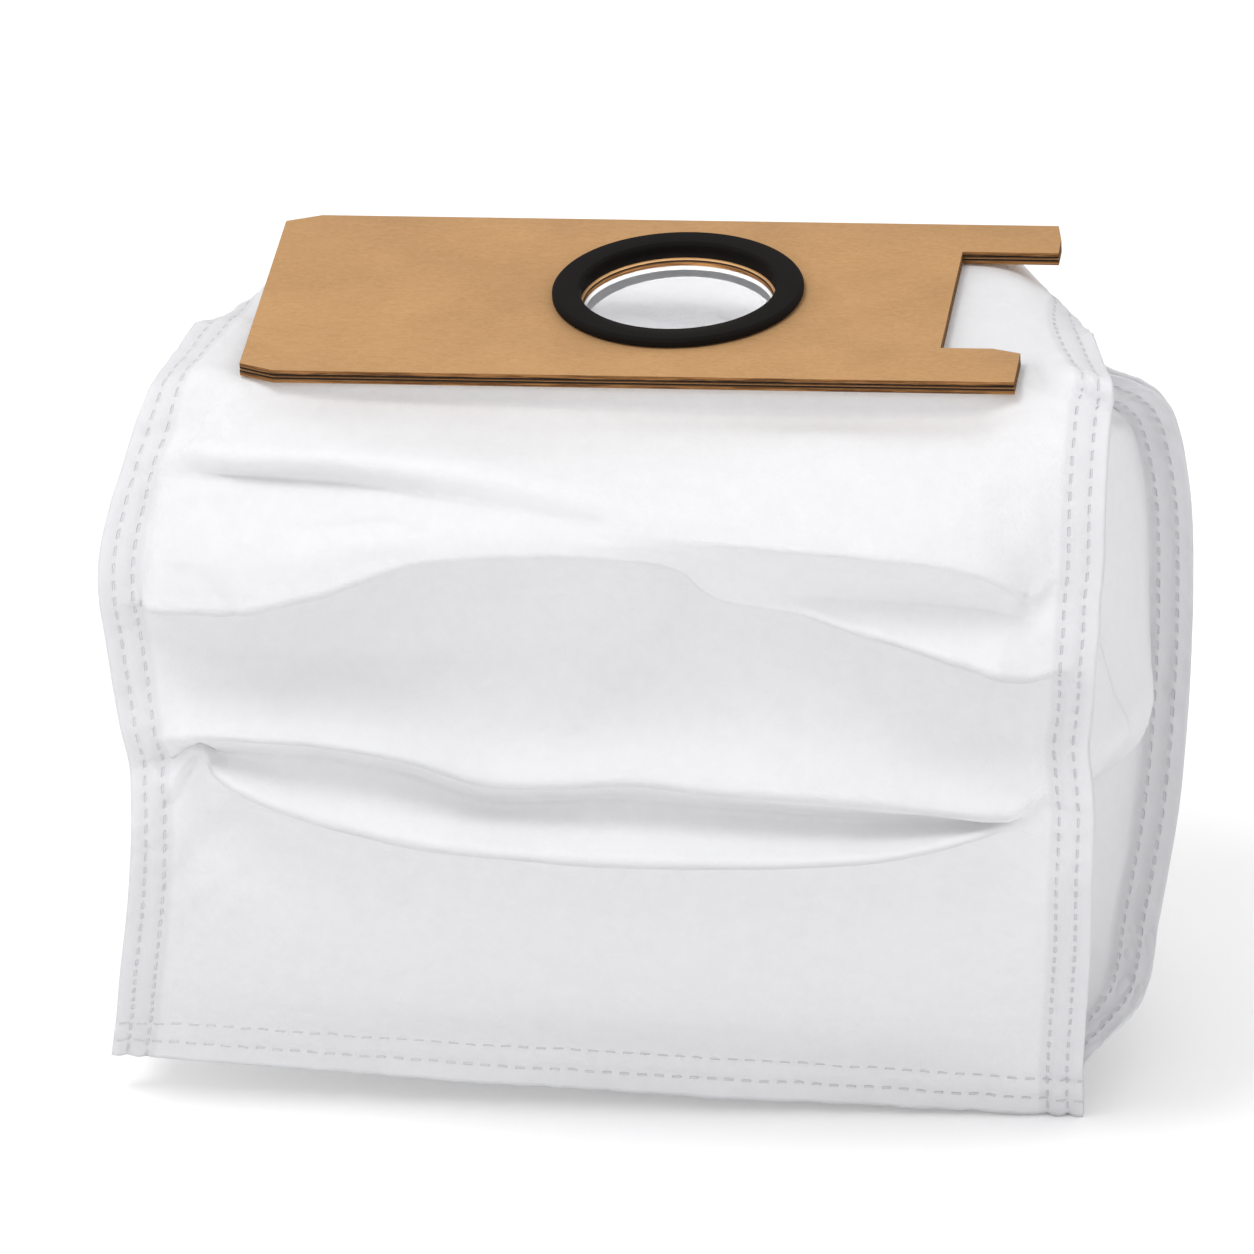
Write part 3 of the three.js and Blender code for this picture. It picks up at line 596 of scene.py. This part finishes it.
def down_columns(rows, places, sharp=None):
    """A smooth curve down each column through the rows, read at the given places.

    Where sharp is 1 the cloth is creased at that row instead of curving through it.
    """
    rows = np.asarray(rows)
    last = len(rows) - 1
    padded = np.concatenate([2 * rows[:1] - rows[1:2], rows, 2 * rows[-1:] - rows[-2:-1]])
    i = np.clip(np.floor(places).astype(int), 0, last - 1)
    t = (np.asarray(places) - i)[:, None, None]
    p0, p1, p2, p3 = (padded[i + k] for k in range(4))
    if sharp is not None:
        p0 = p0 + sharp[i, :, None] * (2 * p1 - p2 - p0)
        p3 = p3 + sharp[i + 1, :, None] * (2 * p2 - p1 - p3)

    def knot(a, b):
        return np.maximum(np.linalg.norm(b - a, axis=2, keepdims=True), 1e-6) ** 0.5

    k0, k1, k2 = knot(p0, p1), knot(p1, p2), knot(p2, p3)
    t1 = ((p1 - p0) / k0 - (p2 - p0) / (k0 + k1) + (p2 - p1) / k1) * k1
    t2 = ((p2 - p1) / k1 - (p3 - p1) / (k1 + k2) + (p3 - p2) / k2) * k1
    bend = 2 * p1 - 2 * p2 + t1 + t2
    lift = -3 * p1 + 3 * p2 - 2 * t1 - t2
    return p1 + t1 * t + lift * t**2 + bend * t**3


def straightened(grid, rows, places):
    """Under the card and in the hem's flange the cloth runs straight between two folds."""
    for fold in straight_spans:
        between = (places > fold) & (places < fold + 1)
        share = (places[between] - fold)[:, None, None]
        grid[between] = rows[fold] * (1 - share) + rows[fold + 1] * share
    return grid


def span_normals(rows, fold):
    """Normals of the cloth in the span below a fold; each flange has one across its width."""
    column = np.arange(column_count)
    left, right = np.maximum(column - 1, 0), np.minimum(column + 1, column_count - 1)
    left[:flange_strips + 1], right[:flange_strips + 1] = 0, flange_strips
    left[-flange_strips - 1:], right[-flange_strips - 1:] = -flange_strips - 1, -1
    across = sum(rows[f][right] - rows[f][left] for f in (fold, fold + 1))
    normal = np.cross(across, rows[fold + 1] - rows[fold])
    return normal / np.linalg.norm(normal, axis=1, keepdims=True)


sharpest_turn = 0.08


def layer_normals(rows, fold):
    """Offset direction at a fold that keeps a layer one step off the spans beside it."""
    above = span_normals(rows, max(fold - 1, 0))
    below = span_normals(rows, min(fold, len(rows) - 2))
    opening = np.maximum(1 + (above * below).sum(axis=1, keepdims=True), sharpest_turn)
    return (above + below) / opening


def spaced_places(rows, pitch):
    """Places along the folds at an even pitch down the middle of the cloth."""
    fine = np.linspace(0, len(rows) - 1, 40 * (len(rows) - 1) + 1)
    columns = [len(rows[0]) // 4, len(rows[0]) // 2, 3 * len(rows[0]) // 4]
    path = down_columns(np.asarray(rows)[:, columns], fine)
    steps = np.linalg.norm(np.diff(path, axis=0), axis=2).max(axis=1)
    gone = np.concatenate([[0], np.cumsum(steps)])
    count = int(round(gone[-1] / pitch))
    return np.interp(np.linspace(0, gone[-1], count + 1), gone, fine)


def noise_field(points, wavelength, seed):
    """Smooth noise over space, from -1 to 1: a mixed-up value at each corner of a cell."""
    cell = points / wavelength + seed * 17.3
    base = np.floor(cell).astype(np.int64)
    t = cell - base
    t = t * t * (3 - 2 * t)
    total = np.zeros(points.shape[:-1])
    for corner in np.ndindex(2, 2, 2):
        at = base + np.array(corner)
        mixed = at[..., 0] * 374761393 + at[..., 1] * 668265263 + at[..., 2] * 2147483647
        mixed = (mixed ^ (mixed >> 13)) * 1274126177
        value = ((mixed ^ (mixed >> 16)) & 0xFFFF) / 32767.5 - 1
        weight = np.prod(np.where(corner, t, 1 - t), axis=-1)
        total += weight * value
    return total


def grid_normals(points):
    """Unit normals of a grid, pointing into the bag."""
    across = np.gradient(points, axis=1)
    along = np.gradient(points, axis=0)
    normal = np.cross(across, along)
    return normal / np.maximum(np.linalg.norm(normal, axis=2, keepdims=True), 1e-9)


swell_height, swell_size = 0.35, 26.0
ridge_height, ridge_size = 0.45, 13.0
crinkle_height, crinkle_size = 0.16, 6.0
ridge_level = 0.3


def creased(points):
    """Fine crumples of handled nonwoven: soft swells with sharper ridges across them."""
    normal = grid_normals(points)
    swell = swell_height * noise_field(points, swell_size, 1)
    ridge = ridge_level - np.abs(noise_field(points * [1, 1, 1.6], ridge_size, 2))
    small = ridge_level - np.abs(noise_field(points * [1, 1, 1.3], crinkle_size, 3))
    relief = swell + ridge_height * ridge + crinkle_height * small
    return points + normal * relief[..., None]


weld_press, weld_spread = 0.45, 0.6
puff_height, puff_size = 0.25, 5.0
pucker_height, pucker_past_weld, pucker_fade = 0.28, 1.9, 0.6


def welded(points, seam, hem):
    """Seam bands: pressed in along both weld rows, puffed up between them, and puckered."""
    relief = np.zeros(points.shape[:2])
    for place, rows in ((seam, weld_rows), (hem, hem_rows)):
        from_edge, along = place[..., 0], place[..., 1]
        for row in rows:
            dash = 0.65 - 0.35 * np.cos(2 * math.pi * along / weld_pitch)
            relief += weld_press * dash * np.exp(-((from_edge - row) / weld_spread) ** 2)
        between = np.exp(-((from_edge - sum(rows) / 2) / 1.5) ** 2)
        outside = 0.8 * np.exp(-((from_edge - 1.2) / 1.3) ** 2)
        uneven = 1 + 0.5 * noise_field(points, puff_size, 4)
        relief -= puff_height * (between + outside) * uneven
        across_seam = np.stack([from_edge * 0.35, along, 0 * along], -1)
        pucker = noise_field(across_seam, 2.6, 5) + 0.6 * noise_field(across_seam, 4.5, 6)
        fade = 1 + np.exp((from_edge - rows[1] - pucker_past_weld) / pucker_fade)
        relief += pucker_height * pucker / fade
    return points + grid_normals(points) * relief[..., None]


def pinched(points, places, pinches):
    """Creases along folds: how far each dies out above and below it, and its mm outwards."""
    gone = length_along(points, 0)
    share = np.linspace(-100, 100, points.shape[1])
    lift = np.zeros(points.shape[:2])
    for fold, above, below, course in pinches:
        off = gone - np.array([np.interp(fold, places, column) for column in gone.T])
        amount = np.interp(share, [at for at, mm in course], [mm for at, mm in course])
        lift += amount * np.exp(-np.abs(off) / np.where(off < 0, above, below))
    return points - grid_normals(points) * lift[..., None]


crease_rounding = 0.2


def scored(points, marks):
    """Creases and dents: for each mark its mm outwards, its width, and a line of points.

    A point is in mm: its x, and how far it is down the cloth from the top seam.
    """
    place = np.stack([points[..., 0], length_along(points, 0)], axis=-1)
    lift = np.zeros(points.shape[:2])
    for amount, width, line in marks:
        start, step = np.array(line[:-1], float), np.diff(np.array(line, float), axis=0)
        away = place[..., None, :] - start
        share = np.clip((away * step).sum(axis=-1) / (step**2).sum(axis=-1), 0, 1)
        gap = np.linalg.norm(away - share[..., None] * step, axis=-1).min(axis=-1)
        lift += amount * np.exp(-np.hypot(gap, crease_rounding) / width)
    return points - grid_normals(points) * lift[..., None]


hole_depth = 10


def cloth_piece(name, points, seam_place, hem_place, hole=None):
    """Makes one panel from a grid of points, with a UV map for each kind of weld row.

    A hole is cut only through the cloth that is glued under the card.
    """
    height, width = points.shape[:2]
    x, y, z = (points[..., axis].ravel() for axis in range(3))
    turned = np.column_stack([
        x * math.cos(askew) + z * math.sin(askew) + card_length / 2,
        y,
        -x * math.sin(askew) + z * math.cos(askew),
    ]) * MM
    index = np.arange(height * width).reshape(height, width)
    quads = np.stack(
        [index[:-1, :-1], index[1:, :-1], index[1:, 1:], index[:-1, 1:]], axis=-1)
    quads = quads.reshape(-1, 4)
    if hole:
        centre, radius = np.array(hole[:2]) * MM, hole[2] * MM
        middle = turned[quads].mean(axis=1)
        cut = np.linalg.norm(middle[:, :2] - centre, axis=1) < radius
        cut &= middle[:, 2] > -hole_depth * MM
        rim = np.intersect1d(quads[cut], quads[~cut])
        spoke = turned[rim, :2] - centre
        spoke *= radius / np.linalg.norm(spoke, axis=1, keepdims=True)
        turned[rim, :2] = centre + spoke
        quads = quads[~cut]
    mesh = bpy.data.meshes.new(name)
    mesh.from_pydata(turned.tolist(), [], quads.tolist())
    corner = np.empty(len(mesh.loops), np.int32)
    mesh.loops.foreach_get("vertex_index", corner)
    for label, place in (("side_weld", seam_place), ("hem_weld", hem_place)):
        layer = mesh.uv_layers.new(name=label)
        layer.data.foreach_set("uv", place.reshape(-1, 2)[corner].ravel())
    piece = bpy.data.objects.new(name, mesh)
    bpy.context.scene.collection.objects.link(piece)
    bpy.ops.object.select_all(action="DESELECT")
    bpy.context.view_layer.objects.active = piece
    piece.select_set(True)
    bpy.ops.object.shade_smooth()
    wall = piece.modifiers.new("cloth", "SOLIDIFY")
    wall.thickness = cloth_thickness * MM
    wall.offset = 0
    bpy.ops.object.modifier_apply(modifier=wall.name)
    bpy.ops.object.mode_set(mode="EDIT")
    bpy.ops.mesh.select_all(action="SELECT")
    bpy.ops.mesh.delete_loose()
    bpy.ops.object.mode_set(mode="OBJECT")
    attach(piece, "root")
    return piece


def length_along(points, axis):
    """How far each point of the grid lies along its row or column."""
    steps = np.linalg.norm(np.diff(points, axis=axis), axis=2)
    gone = np.cumsum(steps, axis=axis)
    start = np.zeros_like(np.take(gone, [0], axis=axis))
    return np.concatenate([start, gone], axis=axis)


def weld_places(points):
    """In mm: distance from the nearest side edge and along it, then from the hem and along."""
    across, down = length_along(points, 1), length_along(points, 0)
    from_left, from_right = across, across[:, -1:] - across
    from_side = np.minimum(from_left, from_right)
    from_hem = down[-1:] - down
    return np.stack([from_side, down], -1), np.stack([from_hem, across], -1)


front_rows = np.array([panel_row(line) for line in front_folds])
front_places = spaced_places(front_rows, front_pitch)
crease_folds = {
    # How sharply each fold is creased, by share of the half width
    6: [(70, 0), (84, 0.9), (100, 0.9)],
    9: [(-92, 0), (-80, 1), (84, 1), (92, 0)],
    11: [(20, 0), (35, 0.7), (84, 0.8), (92, 0)],
    12: [(-93, 0), (-86, 1), (90, 1), (98, 0.3)],
    16: [(-88, 0), (-82, 1), (80, 1), (88, 0)],
    17: [(-86, 0), (-80, 0.6), (76, 0.6), (86, 0)],
    18: [(-88, 0), (-80, 1), (80, 1), (88, 0)],
}
column_share = np.linspace(-100, 100, column_count)
front_sharp = np.zeros((fold_count, column_count))
for fold, course in crease_folds.items():
    front_places[np.abs(front_places - fold).argmin()] = fold
    front_sharp[fold] = np.interp(
        column_share, [share for share, amount in course], [amount for share, amount in course])
front_grid = straightened(
    down_columns(front_rows, front_places, front_sharp), front_rows, front_places)
front_seam, front_hem = weld_places(front_grid)
# Under the card the glued cloth stays calm; the crumples set in within a few mm past it
past_card = np.maximum.reduce([
    np.abs(front_grid[..., 0]) - card_length / 2 - 2,
    np.abs(front_grid[..., 1]) - card_depth / 2 - 1,
    -8 - front_grid[..., 2],
])
calm_width = 3
loose = np.clip(past_card / calm_width, 0, 1)[..., None]
front_pinches = [
    # Fold, mm it dies out in above and below, and mm outwards by share of the half width.
    # Upper crease: a valley with a steep lower side at the left, a ridge at the right
    (9, 5.0, 0.5, [(-90, 0), (-82, -0.9), (15, -0.8), (35, 0)]),
    (9, 2.5, 0.8, [(0, 0), (25, 0.9), (80, 0.9), (90, 0)]),
    # Lower edge of the overhang
    (12, 3.0, 0.6, [(-94, 0), (-86, 1), (0, 0.9), (18, 0.4), (40, 0.8), (86, 1), (94, 0)]),
    # Ridge, pocket and lip of the lower fold
    (16, 1.0, 0.5, [(-88, 0), (-82, 1.1), (76, 1), (86, 0)]),
    (17, 1.5, 2.5, [(-86, 0), (-78, -0.8), (72, -0.7), (84, 0)]),
    (18, 3.5, 0.6, [(-86, 0), (-78, 1), (72, 1), (84, 0)]),
]
front_marks = [
    # From the card's left end down into the left seam, crinkled where they end
    (0.5, 2.0, [(-85, 88), (-89, 98), (-94, 102)]),
    (1.0, 1.3, [(-78, 94), (-82, 102), (-87, 110), (-91, 117)]),
    (-0.9, 1.2, [(-85, 101), (-89, 109), (-95, 118)]),
    (-0.8, 0.9, [(-82, 104), (-86, 107), (-85, 111)]),
    (0.7, 0.9, [(-84, 107), (-81, 110), (-83, 114)]),
    (0.6, 1.2, [(-97, 119), (-86, 124), (-80, 129)]),
    (-0.6, 1.2, [(-97, 122), (-90, 130)]),
    # Roll from the front prong's tip to the right seam, and the valley below it
    (1.3, 2.2, [(81, 84), (90, 97), (100, 107)]),
    (-1.5, 1.6, [(83, 93), (91, 104), (102, 114)]),
    # Thin crease down the right side to the pit, and on from there
    (0.8, 1.0, [(83, 104), (86, 115), (88, 128), (90, 142), (88, 152)]),
    (1.0, 1.1, [(88, 152), (84, 159), (81, 168)]),
    (0.7, 1.2, [(81, 168), (89, 160), (96, 164)]),
    (-1.2, 1.8, [(86, 151), (88, 153)]),
    # Star of short creases at the left end of the overhang
    (-1.0, 1.0, [(-93, 143), (-88, 144)]),
    (0.9, 1.4, [(-88, 144), (-82, 141), (-68, 136), (-45, 134)]),
    (-0.8, 1.2, [(-88, 145), (-79, 156)]),
    # Soft valleys and a dent in the recess
    (-2.2, 6.0, [(17, 160), (4, 178), (-9, 194)]),
    (-1.2, 7.0, [(-26, 157), (-37, 177), (-47, 192)]),
    (0.9, 3.0, [(-16, 170), (4, 176)]),
    # Knob at the left end of the lower fold, and gathers beside it
    (1.6, 2.4, [(-93, 192), (-90, 203)]),
    (-0.8, 1.2, [(-97, 200), (-92, 207), (-86, 210)]),
    (0.6, 1.3, [(-98, 215), (-88, 224), (-80, 226)]),
    (-0.5, 1.3, [(-98, 222), (-88, 232), (-78, 234)]),
    (0.5, 1.5, [(-100, 240), (-90, 243), (-78, 248)]),
    (0.5, 1.5, [(-104, 263), (-92, 259), (-77, 254)]),
    (0.4, 2.5, [(-71, 294), (-59, 281), (-37, 260)]),
    # Gathers at the right end of the lower fold
    (0.8, 1.2, [(84, 215), (90, 207), (95, 203)]),
    (-0.7, 1.4, [(92, 221), (85, 238)]),
    (0.5, 1.5, [(95, 232), (80, 246)]),
]
sharp_front = pinched(front_grid, front_places, front_pinches)
scored_front = scored(sharp_front, front_marks)
creased_front = welded(creased(scored_front), front_seam, front_hem)
creased_front = front_grid + (creased_front - front_grid) * loose
fabric_hole = (*inlet, 20.0)
front_panel = cloth_piece(
    "front_panel_cloth", creased_front, front_seam, front_hem, fabric_hole)

nonwoven = new_material("laminated_nonwoven")
cloth_place = add_node(nonwoven, "ShaderNodeTexCoord").outputs["Object"]
pressed = add_node(
    nonwoven,
    "ShaderNodeTexVoronoi",
    {"feature": "SMOOTH_F1", "Scale": 620.0, "Randomness": 1.0},
    {"Vector": cloth_place},
)
strands = add_node(
    nonwoven,
    "ShaderNodeTexNoise",
    {"Scale": 1100.0, "Detail": 4.0, "Roughness": 0.7, "Distortion": 2.5},
    {"Vector": cloth_place},
)
crinkle = add_node(
    nonwoven,
    "ShaderNodeTexNoise",
    {"Scale": 240.0, "Detail": 5.0, "Roughness": 0.6, "Distortion": 0.8},
    {"Vector": cloth_place},
)
texture = add_node(
    nonwoven, "ShaderNodeMath", {"operation": "MULTIPLY_ADD", 1: 0.45},
    {0: pressed.outputs["Distance"], 2: strands.outputs[0]})
texture = add_node(
    nonwoven, "ShaderNodeMath", {"operation": "MULTIPLY_ADD", 1: 1.2},
    {0: crinkle.outputs[0], 2: texture.outputs[0]})


dash_blur = 0.25


def weld_mask(material, uv_name, row_places):
    """Is 1 on the dashes of both weld rows beside an edge, and 0 elsewhere."""
    uv = add_node(material, "ShaderNodeUVMap", {"uv_map": uv_name})
    part = add_node(material, "ShaderNodeSeparateXYZ", links={0: uv.outputs[0]})

    def within(source, centre, reach):
        off = add_node(
            material, "ShaderNodeMath", {"operation": "SUBTRACT", 1: centre}, {0: source})
        size = add_node(
            material, "ShaderNodeMath", {"operation": "ABSOLUTE"}, {0: off.outputs[0]})
        return add_node(
            material,
            "ShaderNodeMapRange",
            {
                "interpolation_type": "SMOOTHSTEP",
                1: reach - 0.4 * dash_blur,
                2: reach + 0.6 * dash_blur,
                3: 1.0,
                4: 0.0,
            },
            {0: size.outputs[0]},
        ).outputs[0]

    step = add_node(
        material, "ShaderNodeMath", {"operation": "MODULO", 1: weld_pitch}, {0: part.outputs[1]})
    dash = within(step.outputs[0], weld_pitch / 2, weld_length / 2)
    rows = [within(part.outputs[0], row, weld_width / 2) for row in row_places]
    either = add_node(
        material, "ShaderNodeMath", {"operation": "MAXIMUM"}, {0: rows[0], 1: rows[1]})
    both = add_node(
        material, "ShaderNodeMath", {"operation": "MULTIPLY"}, {0: either.outputs[0], 1: dash})
    return both.outputs[0]


welds = add_node(
    nonwoven,
    "ShaderNodeMath",
    {"operation": "MAXIMUM"},
    {
        0: weld_mask(nonwoven, "side_weld", weld_rows),
        1: weld_mask(nonwoven, "hem_weld", hem_rows),
    },
)
# The dashes are painted grey, part own tone, part painted shade of their pits, more to the right
cloth_x = add_node(nonwoven, "ShaderNodeSeparateXYZ", links={0: cloth_place})
weld_painted_shade_gain = add_node(
    nonwoven, "ShaderNodeMapRange", {1: 0.0, 2: 0.16, 3: 0.25, 4: 1.0},
    {0: cloth_x.outputs[0]})
painted_weld_shade = add_node(
    nonwoven, "ShaderNodeMath", {"operation": "MULTIPLY"},
    {0: welds.outputs[0], 1: weld_painted_shade_gain.outputs[0]})
cloth_tone = add_node(
    nonwoven,
    "ShaderNodeMix",
    {"data_type": "RGBA", 6: linear("#f3f3f4"), 7: linear("#fafafb")},
    {0: crinkle.outputs[0]},
)
# Painted shade: the seam flanges are painted a little greyer, for the shade of their crinkles
seam_place = add_node(
    nonwoven, "ShaderNodeSeparateXYZ",
    links={0: add_node(nonwoven, "ShaderNodeUVMap", {"uv_map": "side_weld"}).outputs[0]})
flange_painted_shade = add_node(
    nonwoven, "ShaderNodeMapRange", {1: flange_width - 1, 2: flange_width, 3: 0.7, 4: 0.0},
    {0: seam_place.outputs[0]})
flange_shaded_tone = add_node(
    nonwoven,
    "ShaderNodeMix",
    {"data_type": "RGBA", 7: linear("#ededef")},
    {0: flange_painted_shade.outputs[0], 6: cloth_tone.outputs[2]},
)
# Painted shade: the weld dashes are mixed towards grey here, more so towards the right
cloth_colour = add_node(
    nonwoven,
    "ShaderNodeMix",
    {"data_type": "RGBA", 7: linear("#e6e6e9")},
    {0: painted_weld_shade.outputs[0], 6: flange_shaded_tone.outputs[2]},
)
texture_relief = add_node(
    nonwoven, "ShaderNodeBump", {"Strength": 0.6, "Distance": 0.00022},
    {"Height": texture.outputs[0]})
weld_relief = add_node(
    nonwoven, "ShaderNodeBump", {"Strength": 0.8, "Distance": 0.0003, "invert": True},
    {"Height": welds.outputs[0], "Normal": texture_relief.outputs[0]})
cloth_body = add_node(
    nonwoven,
    "ShaderNodeBsdfPrincipled",
    {"Roughness": 0.8, "IOR": 1.45, "Specular IOR Level": 0.25},
    {"Base Color": cloth_colour.outputs[2], "Normal": weld_relief.outputs[0]},
)
shine_through = add_node(
    nonwoven, "ShaderNodeBsdfTranslucent",
    links={"Color": cloth_colour.outputs[2], "Normal": weld_relief.outputs[0]})
surface(nonwoven, add_node(
    nonwoven,
    "ShaderNodeMixShader",
    {0: 0.3},
    {1: cloth_body.outputs[0], 2: shine_through.outputs[0]},
).outputs[0])
front_panel.data.materials.append(nonwoven)
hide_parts("front_panel")

# Rear panel: the same nonwoven, cut as one piece, welded to the front panel along the top
# seam and the hem. It bellies out behind the card and runs straight down to the hem.

rear_folds = [
    # Out from the top seam to the belly
    fold_line("back", "top", [(-84.5, 8, 42), (-76, 8, 37), (-60, 11, 26), (0, 12, 24),
        (60, 11, 25), (84, 8, 37), (93, 8, 34)]),
    fold_line("back", "top", [(-93, 16, 49), (-84, 16, 46), (-60, 19, 38), (0, 21, 36),
        (60, 19, 37), (91, 16, 46), (100, 16, 41)]),
    fold_line("back", "top", [(-98, 23, 57), (-89, 23, 56), (-50, 26, 52), (0, 28, 50),
        (50, 26, 51), (95, 23, 54), (104.5, 23, 51)]),
    fold_line("back", "top", [(-100, 25, 70), (-91, 25, 70), (0, 30, 70), (98, 25, 70),
        (108, 25, 70)]),
    fold_line("back", "top", [(-101, 26, 90), (-92, 26, 90), (0, 31, 90), (99, 26, 90),
        (109, 26, 90)]),
    fold_line("back", "top", [(-101, 23, 118), (-92, 23, 118), (0, 27, 118), (99, 23, 118),
        (109, 23, 118)]),
    # In under the belly to the hem
    fold_line("back", "hem", [(-101, 12, 38), (-92, 12, 38), (0, 14, 37), (99, 12, 38),
        (108, 12, 38)]),
    fold_line("back", "hem", [(-101, -16, 21), (-92, -16, 21), (0, -15, 22), (97, -16, 21),
        (105.7, -16, 21)]),
    fold_line("back", "hem", [(-102, -42, 15.5), (-93, -42, 15.5), (0, -43, 15.5),
        (95, -42, 15.5), (103.6, -42, 15.5)]),
]
rear_pitch = 1.8
side_folds = [
    # For each fold of the front panel from the third on: the rear panel's row that faces it,
    # and how far the gusset between them is tucked in
    (2, 30), (2.5, 20), (3, 12), (3.4, 8), (3.8, 6), (4.1, 5), (4.4, 4.5), (4.65, 4),
    (4.85, 3.5), (5.1, 3), (5.4, 2), (5.8, 2), (6.2, 0), (6.6, -3), (6.9, -6), (7.2, -1),
    (7.5, 8), (8, 16), (8.8, 26), (9.7, 38),
]


def rear_seam_row(fold):
    """In the end seams the panel lies behind the front panel and what is between them."""
    column = np.arange(column_count)
    from_side = np.minimum(column, column_count - 1 - column) - flange_strips
    ease = np.clip((from_side - tucked_strips) / (0.6 * tucked_strips), 0, 1)
    layers_at_side, layers_in_middle = 3, 1
    layers = (layers_at_side + (layers_in_middle - layers_at_side) * ease)[:, None]
    return front_rows[fold] + layer_normals(front_rows, fold) * layers * cloth_step


rear_lines = np.array([
    rear_seam_row(0),
    rear_seam_row(1),
    *[panel_row(line) for line in rear_folds],
    rear_seam_row(fold_count - 2),
    rear_seam_row(fold_count - 1),
])
rear_at = [0, 1, *[place for place, tuck in side_folds], len(rear_lines) - 2,
           len(rear_lines) - 1]
rear_rows = down_columns(rear_lines, np.array(rear_at, float))
rear_grid = down_columns(rear_rows, spaced_places(rear_rows, rear_pitch))
rear_seam, rear_hem = weld_places(rear_grid)
creased_rear = welded(creased(rear_grid), rear_seam, rear_hem)
rear_panel = cloth_piece(
    "rear_panel_cloth", creased_rear[:, ::-1], rear_seam[:, ::-1], rear_hem[:, ::-1])
rear_panel.data.materials.append(nonwoven)
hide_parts("rear_panel")

# Side gussets: a strip of nonwoven on each side, welded to both panels along its edges,
# creased down its middle and tucked in a little, more so towards the top and the hem.

gusset_pitch = 1.6
gusset_bow, bow_at_top, top_folds = -1.2, 1.4, 6
crease_nose = 0.5


def gusset_grid(mirrored):
    """Rows of a gusset, from the front seam round the middle crease to the rear seam."""
    columns = np.arange(flange_strips + tucked_strips + 1)
    sign = 1
    if mirrored:
        columns = column_count - 1 - columns
        sign = -1
    root, last = flange_strips, len(columns) - 1
    rows = []
    for fold in range(fold_count):
        front = front_rows[fold][columns] + layer_normals(front_rows, fold)[columns] * cloth_step
        rear = rear_rows[fold][columns] - layer_normals(rear_rows, fold)[columns] * cloth_step
        if fold in (1, fold_count - 2):
            onward = fold + 1 if fold == 1 else fold - 1
            inward = front_rows[onward][columns] - front_rows[fold][columns]
            inward /= np.linalg.norm(inward, axis=1, keepdims=True)
            past = ((rear - rear_rows[fold][columns]) * inward).sum(axis=1, keepdims=True)
            front += inward * np.maximum(past, 0)
        if 2 <= fold <= fold_count - 3:
            tuck = side_folds[fold - 2][1]
            middle = (front[root] + rear[root]) / 2 + [sign * tuck, 0, 0]
            apart = rear[root] - front[root]
            apart *= cloth_step / 2 / np.linalg.norm(apart)
            share = np.linspace(0, 1, tucked_strips + 1)[1:, None]
            inward_bow = gusset_bow if fold > top_folds else bow_at_top
            bow = np.sin(math.pi * share) * [sign * inward_bow, 0, 0]
            front[root + 1:] = front[root] * (1 - share) + (middle - apart) * share + bow
            rear[root + 1:] = rear[root] * (1 - share) + (middle + apart) * share + bow
        crease = (front[last] + rear[last]) / 2 + [sign * crease_nose, 0, 0]
        rows.append(np.vstack([front, crease, rear[::-1]]))
    return np.array(rows)


# The cloth sags over a level fold at this depth, in a bulge that stands out this far and
# dies out slowly above the fold and at once below it
sag_depth = 116
sag_out = 3.6
sag_above = 13
sag_below = 1.3
for side, mirrored in (("left", False), ("right", True)):
    rows = gusset_grid(mirrored)
    places = spaced_places(rows, gusset_pitch)
    grid = straightened(down_columns(rows, places), rows, places)
    above_sag = grid[..., 2] + sag_depth
    sag = np.where(
        above_sag > 0, np.exp(-above_sag / sag_above), np.exp(above_sag / sag_below))
    sag *= sag_out * np.sin(np.linspace(0, math.pi, grid.shape[1]))
    grid[..., 0] += sag if mirrored else -sag
    if mirrored:
        grid = grid[:, ::-1]
    seam, hem = weld_places(grid)
    gusset = cloth_piece(f"{side}_gusset_cloth", welded(creased(grid), seam, hem), seam, hem)
    gusset.data.materials.append(nonwoven)
    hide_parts(f"{side}_gusset")
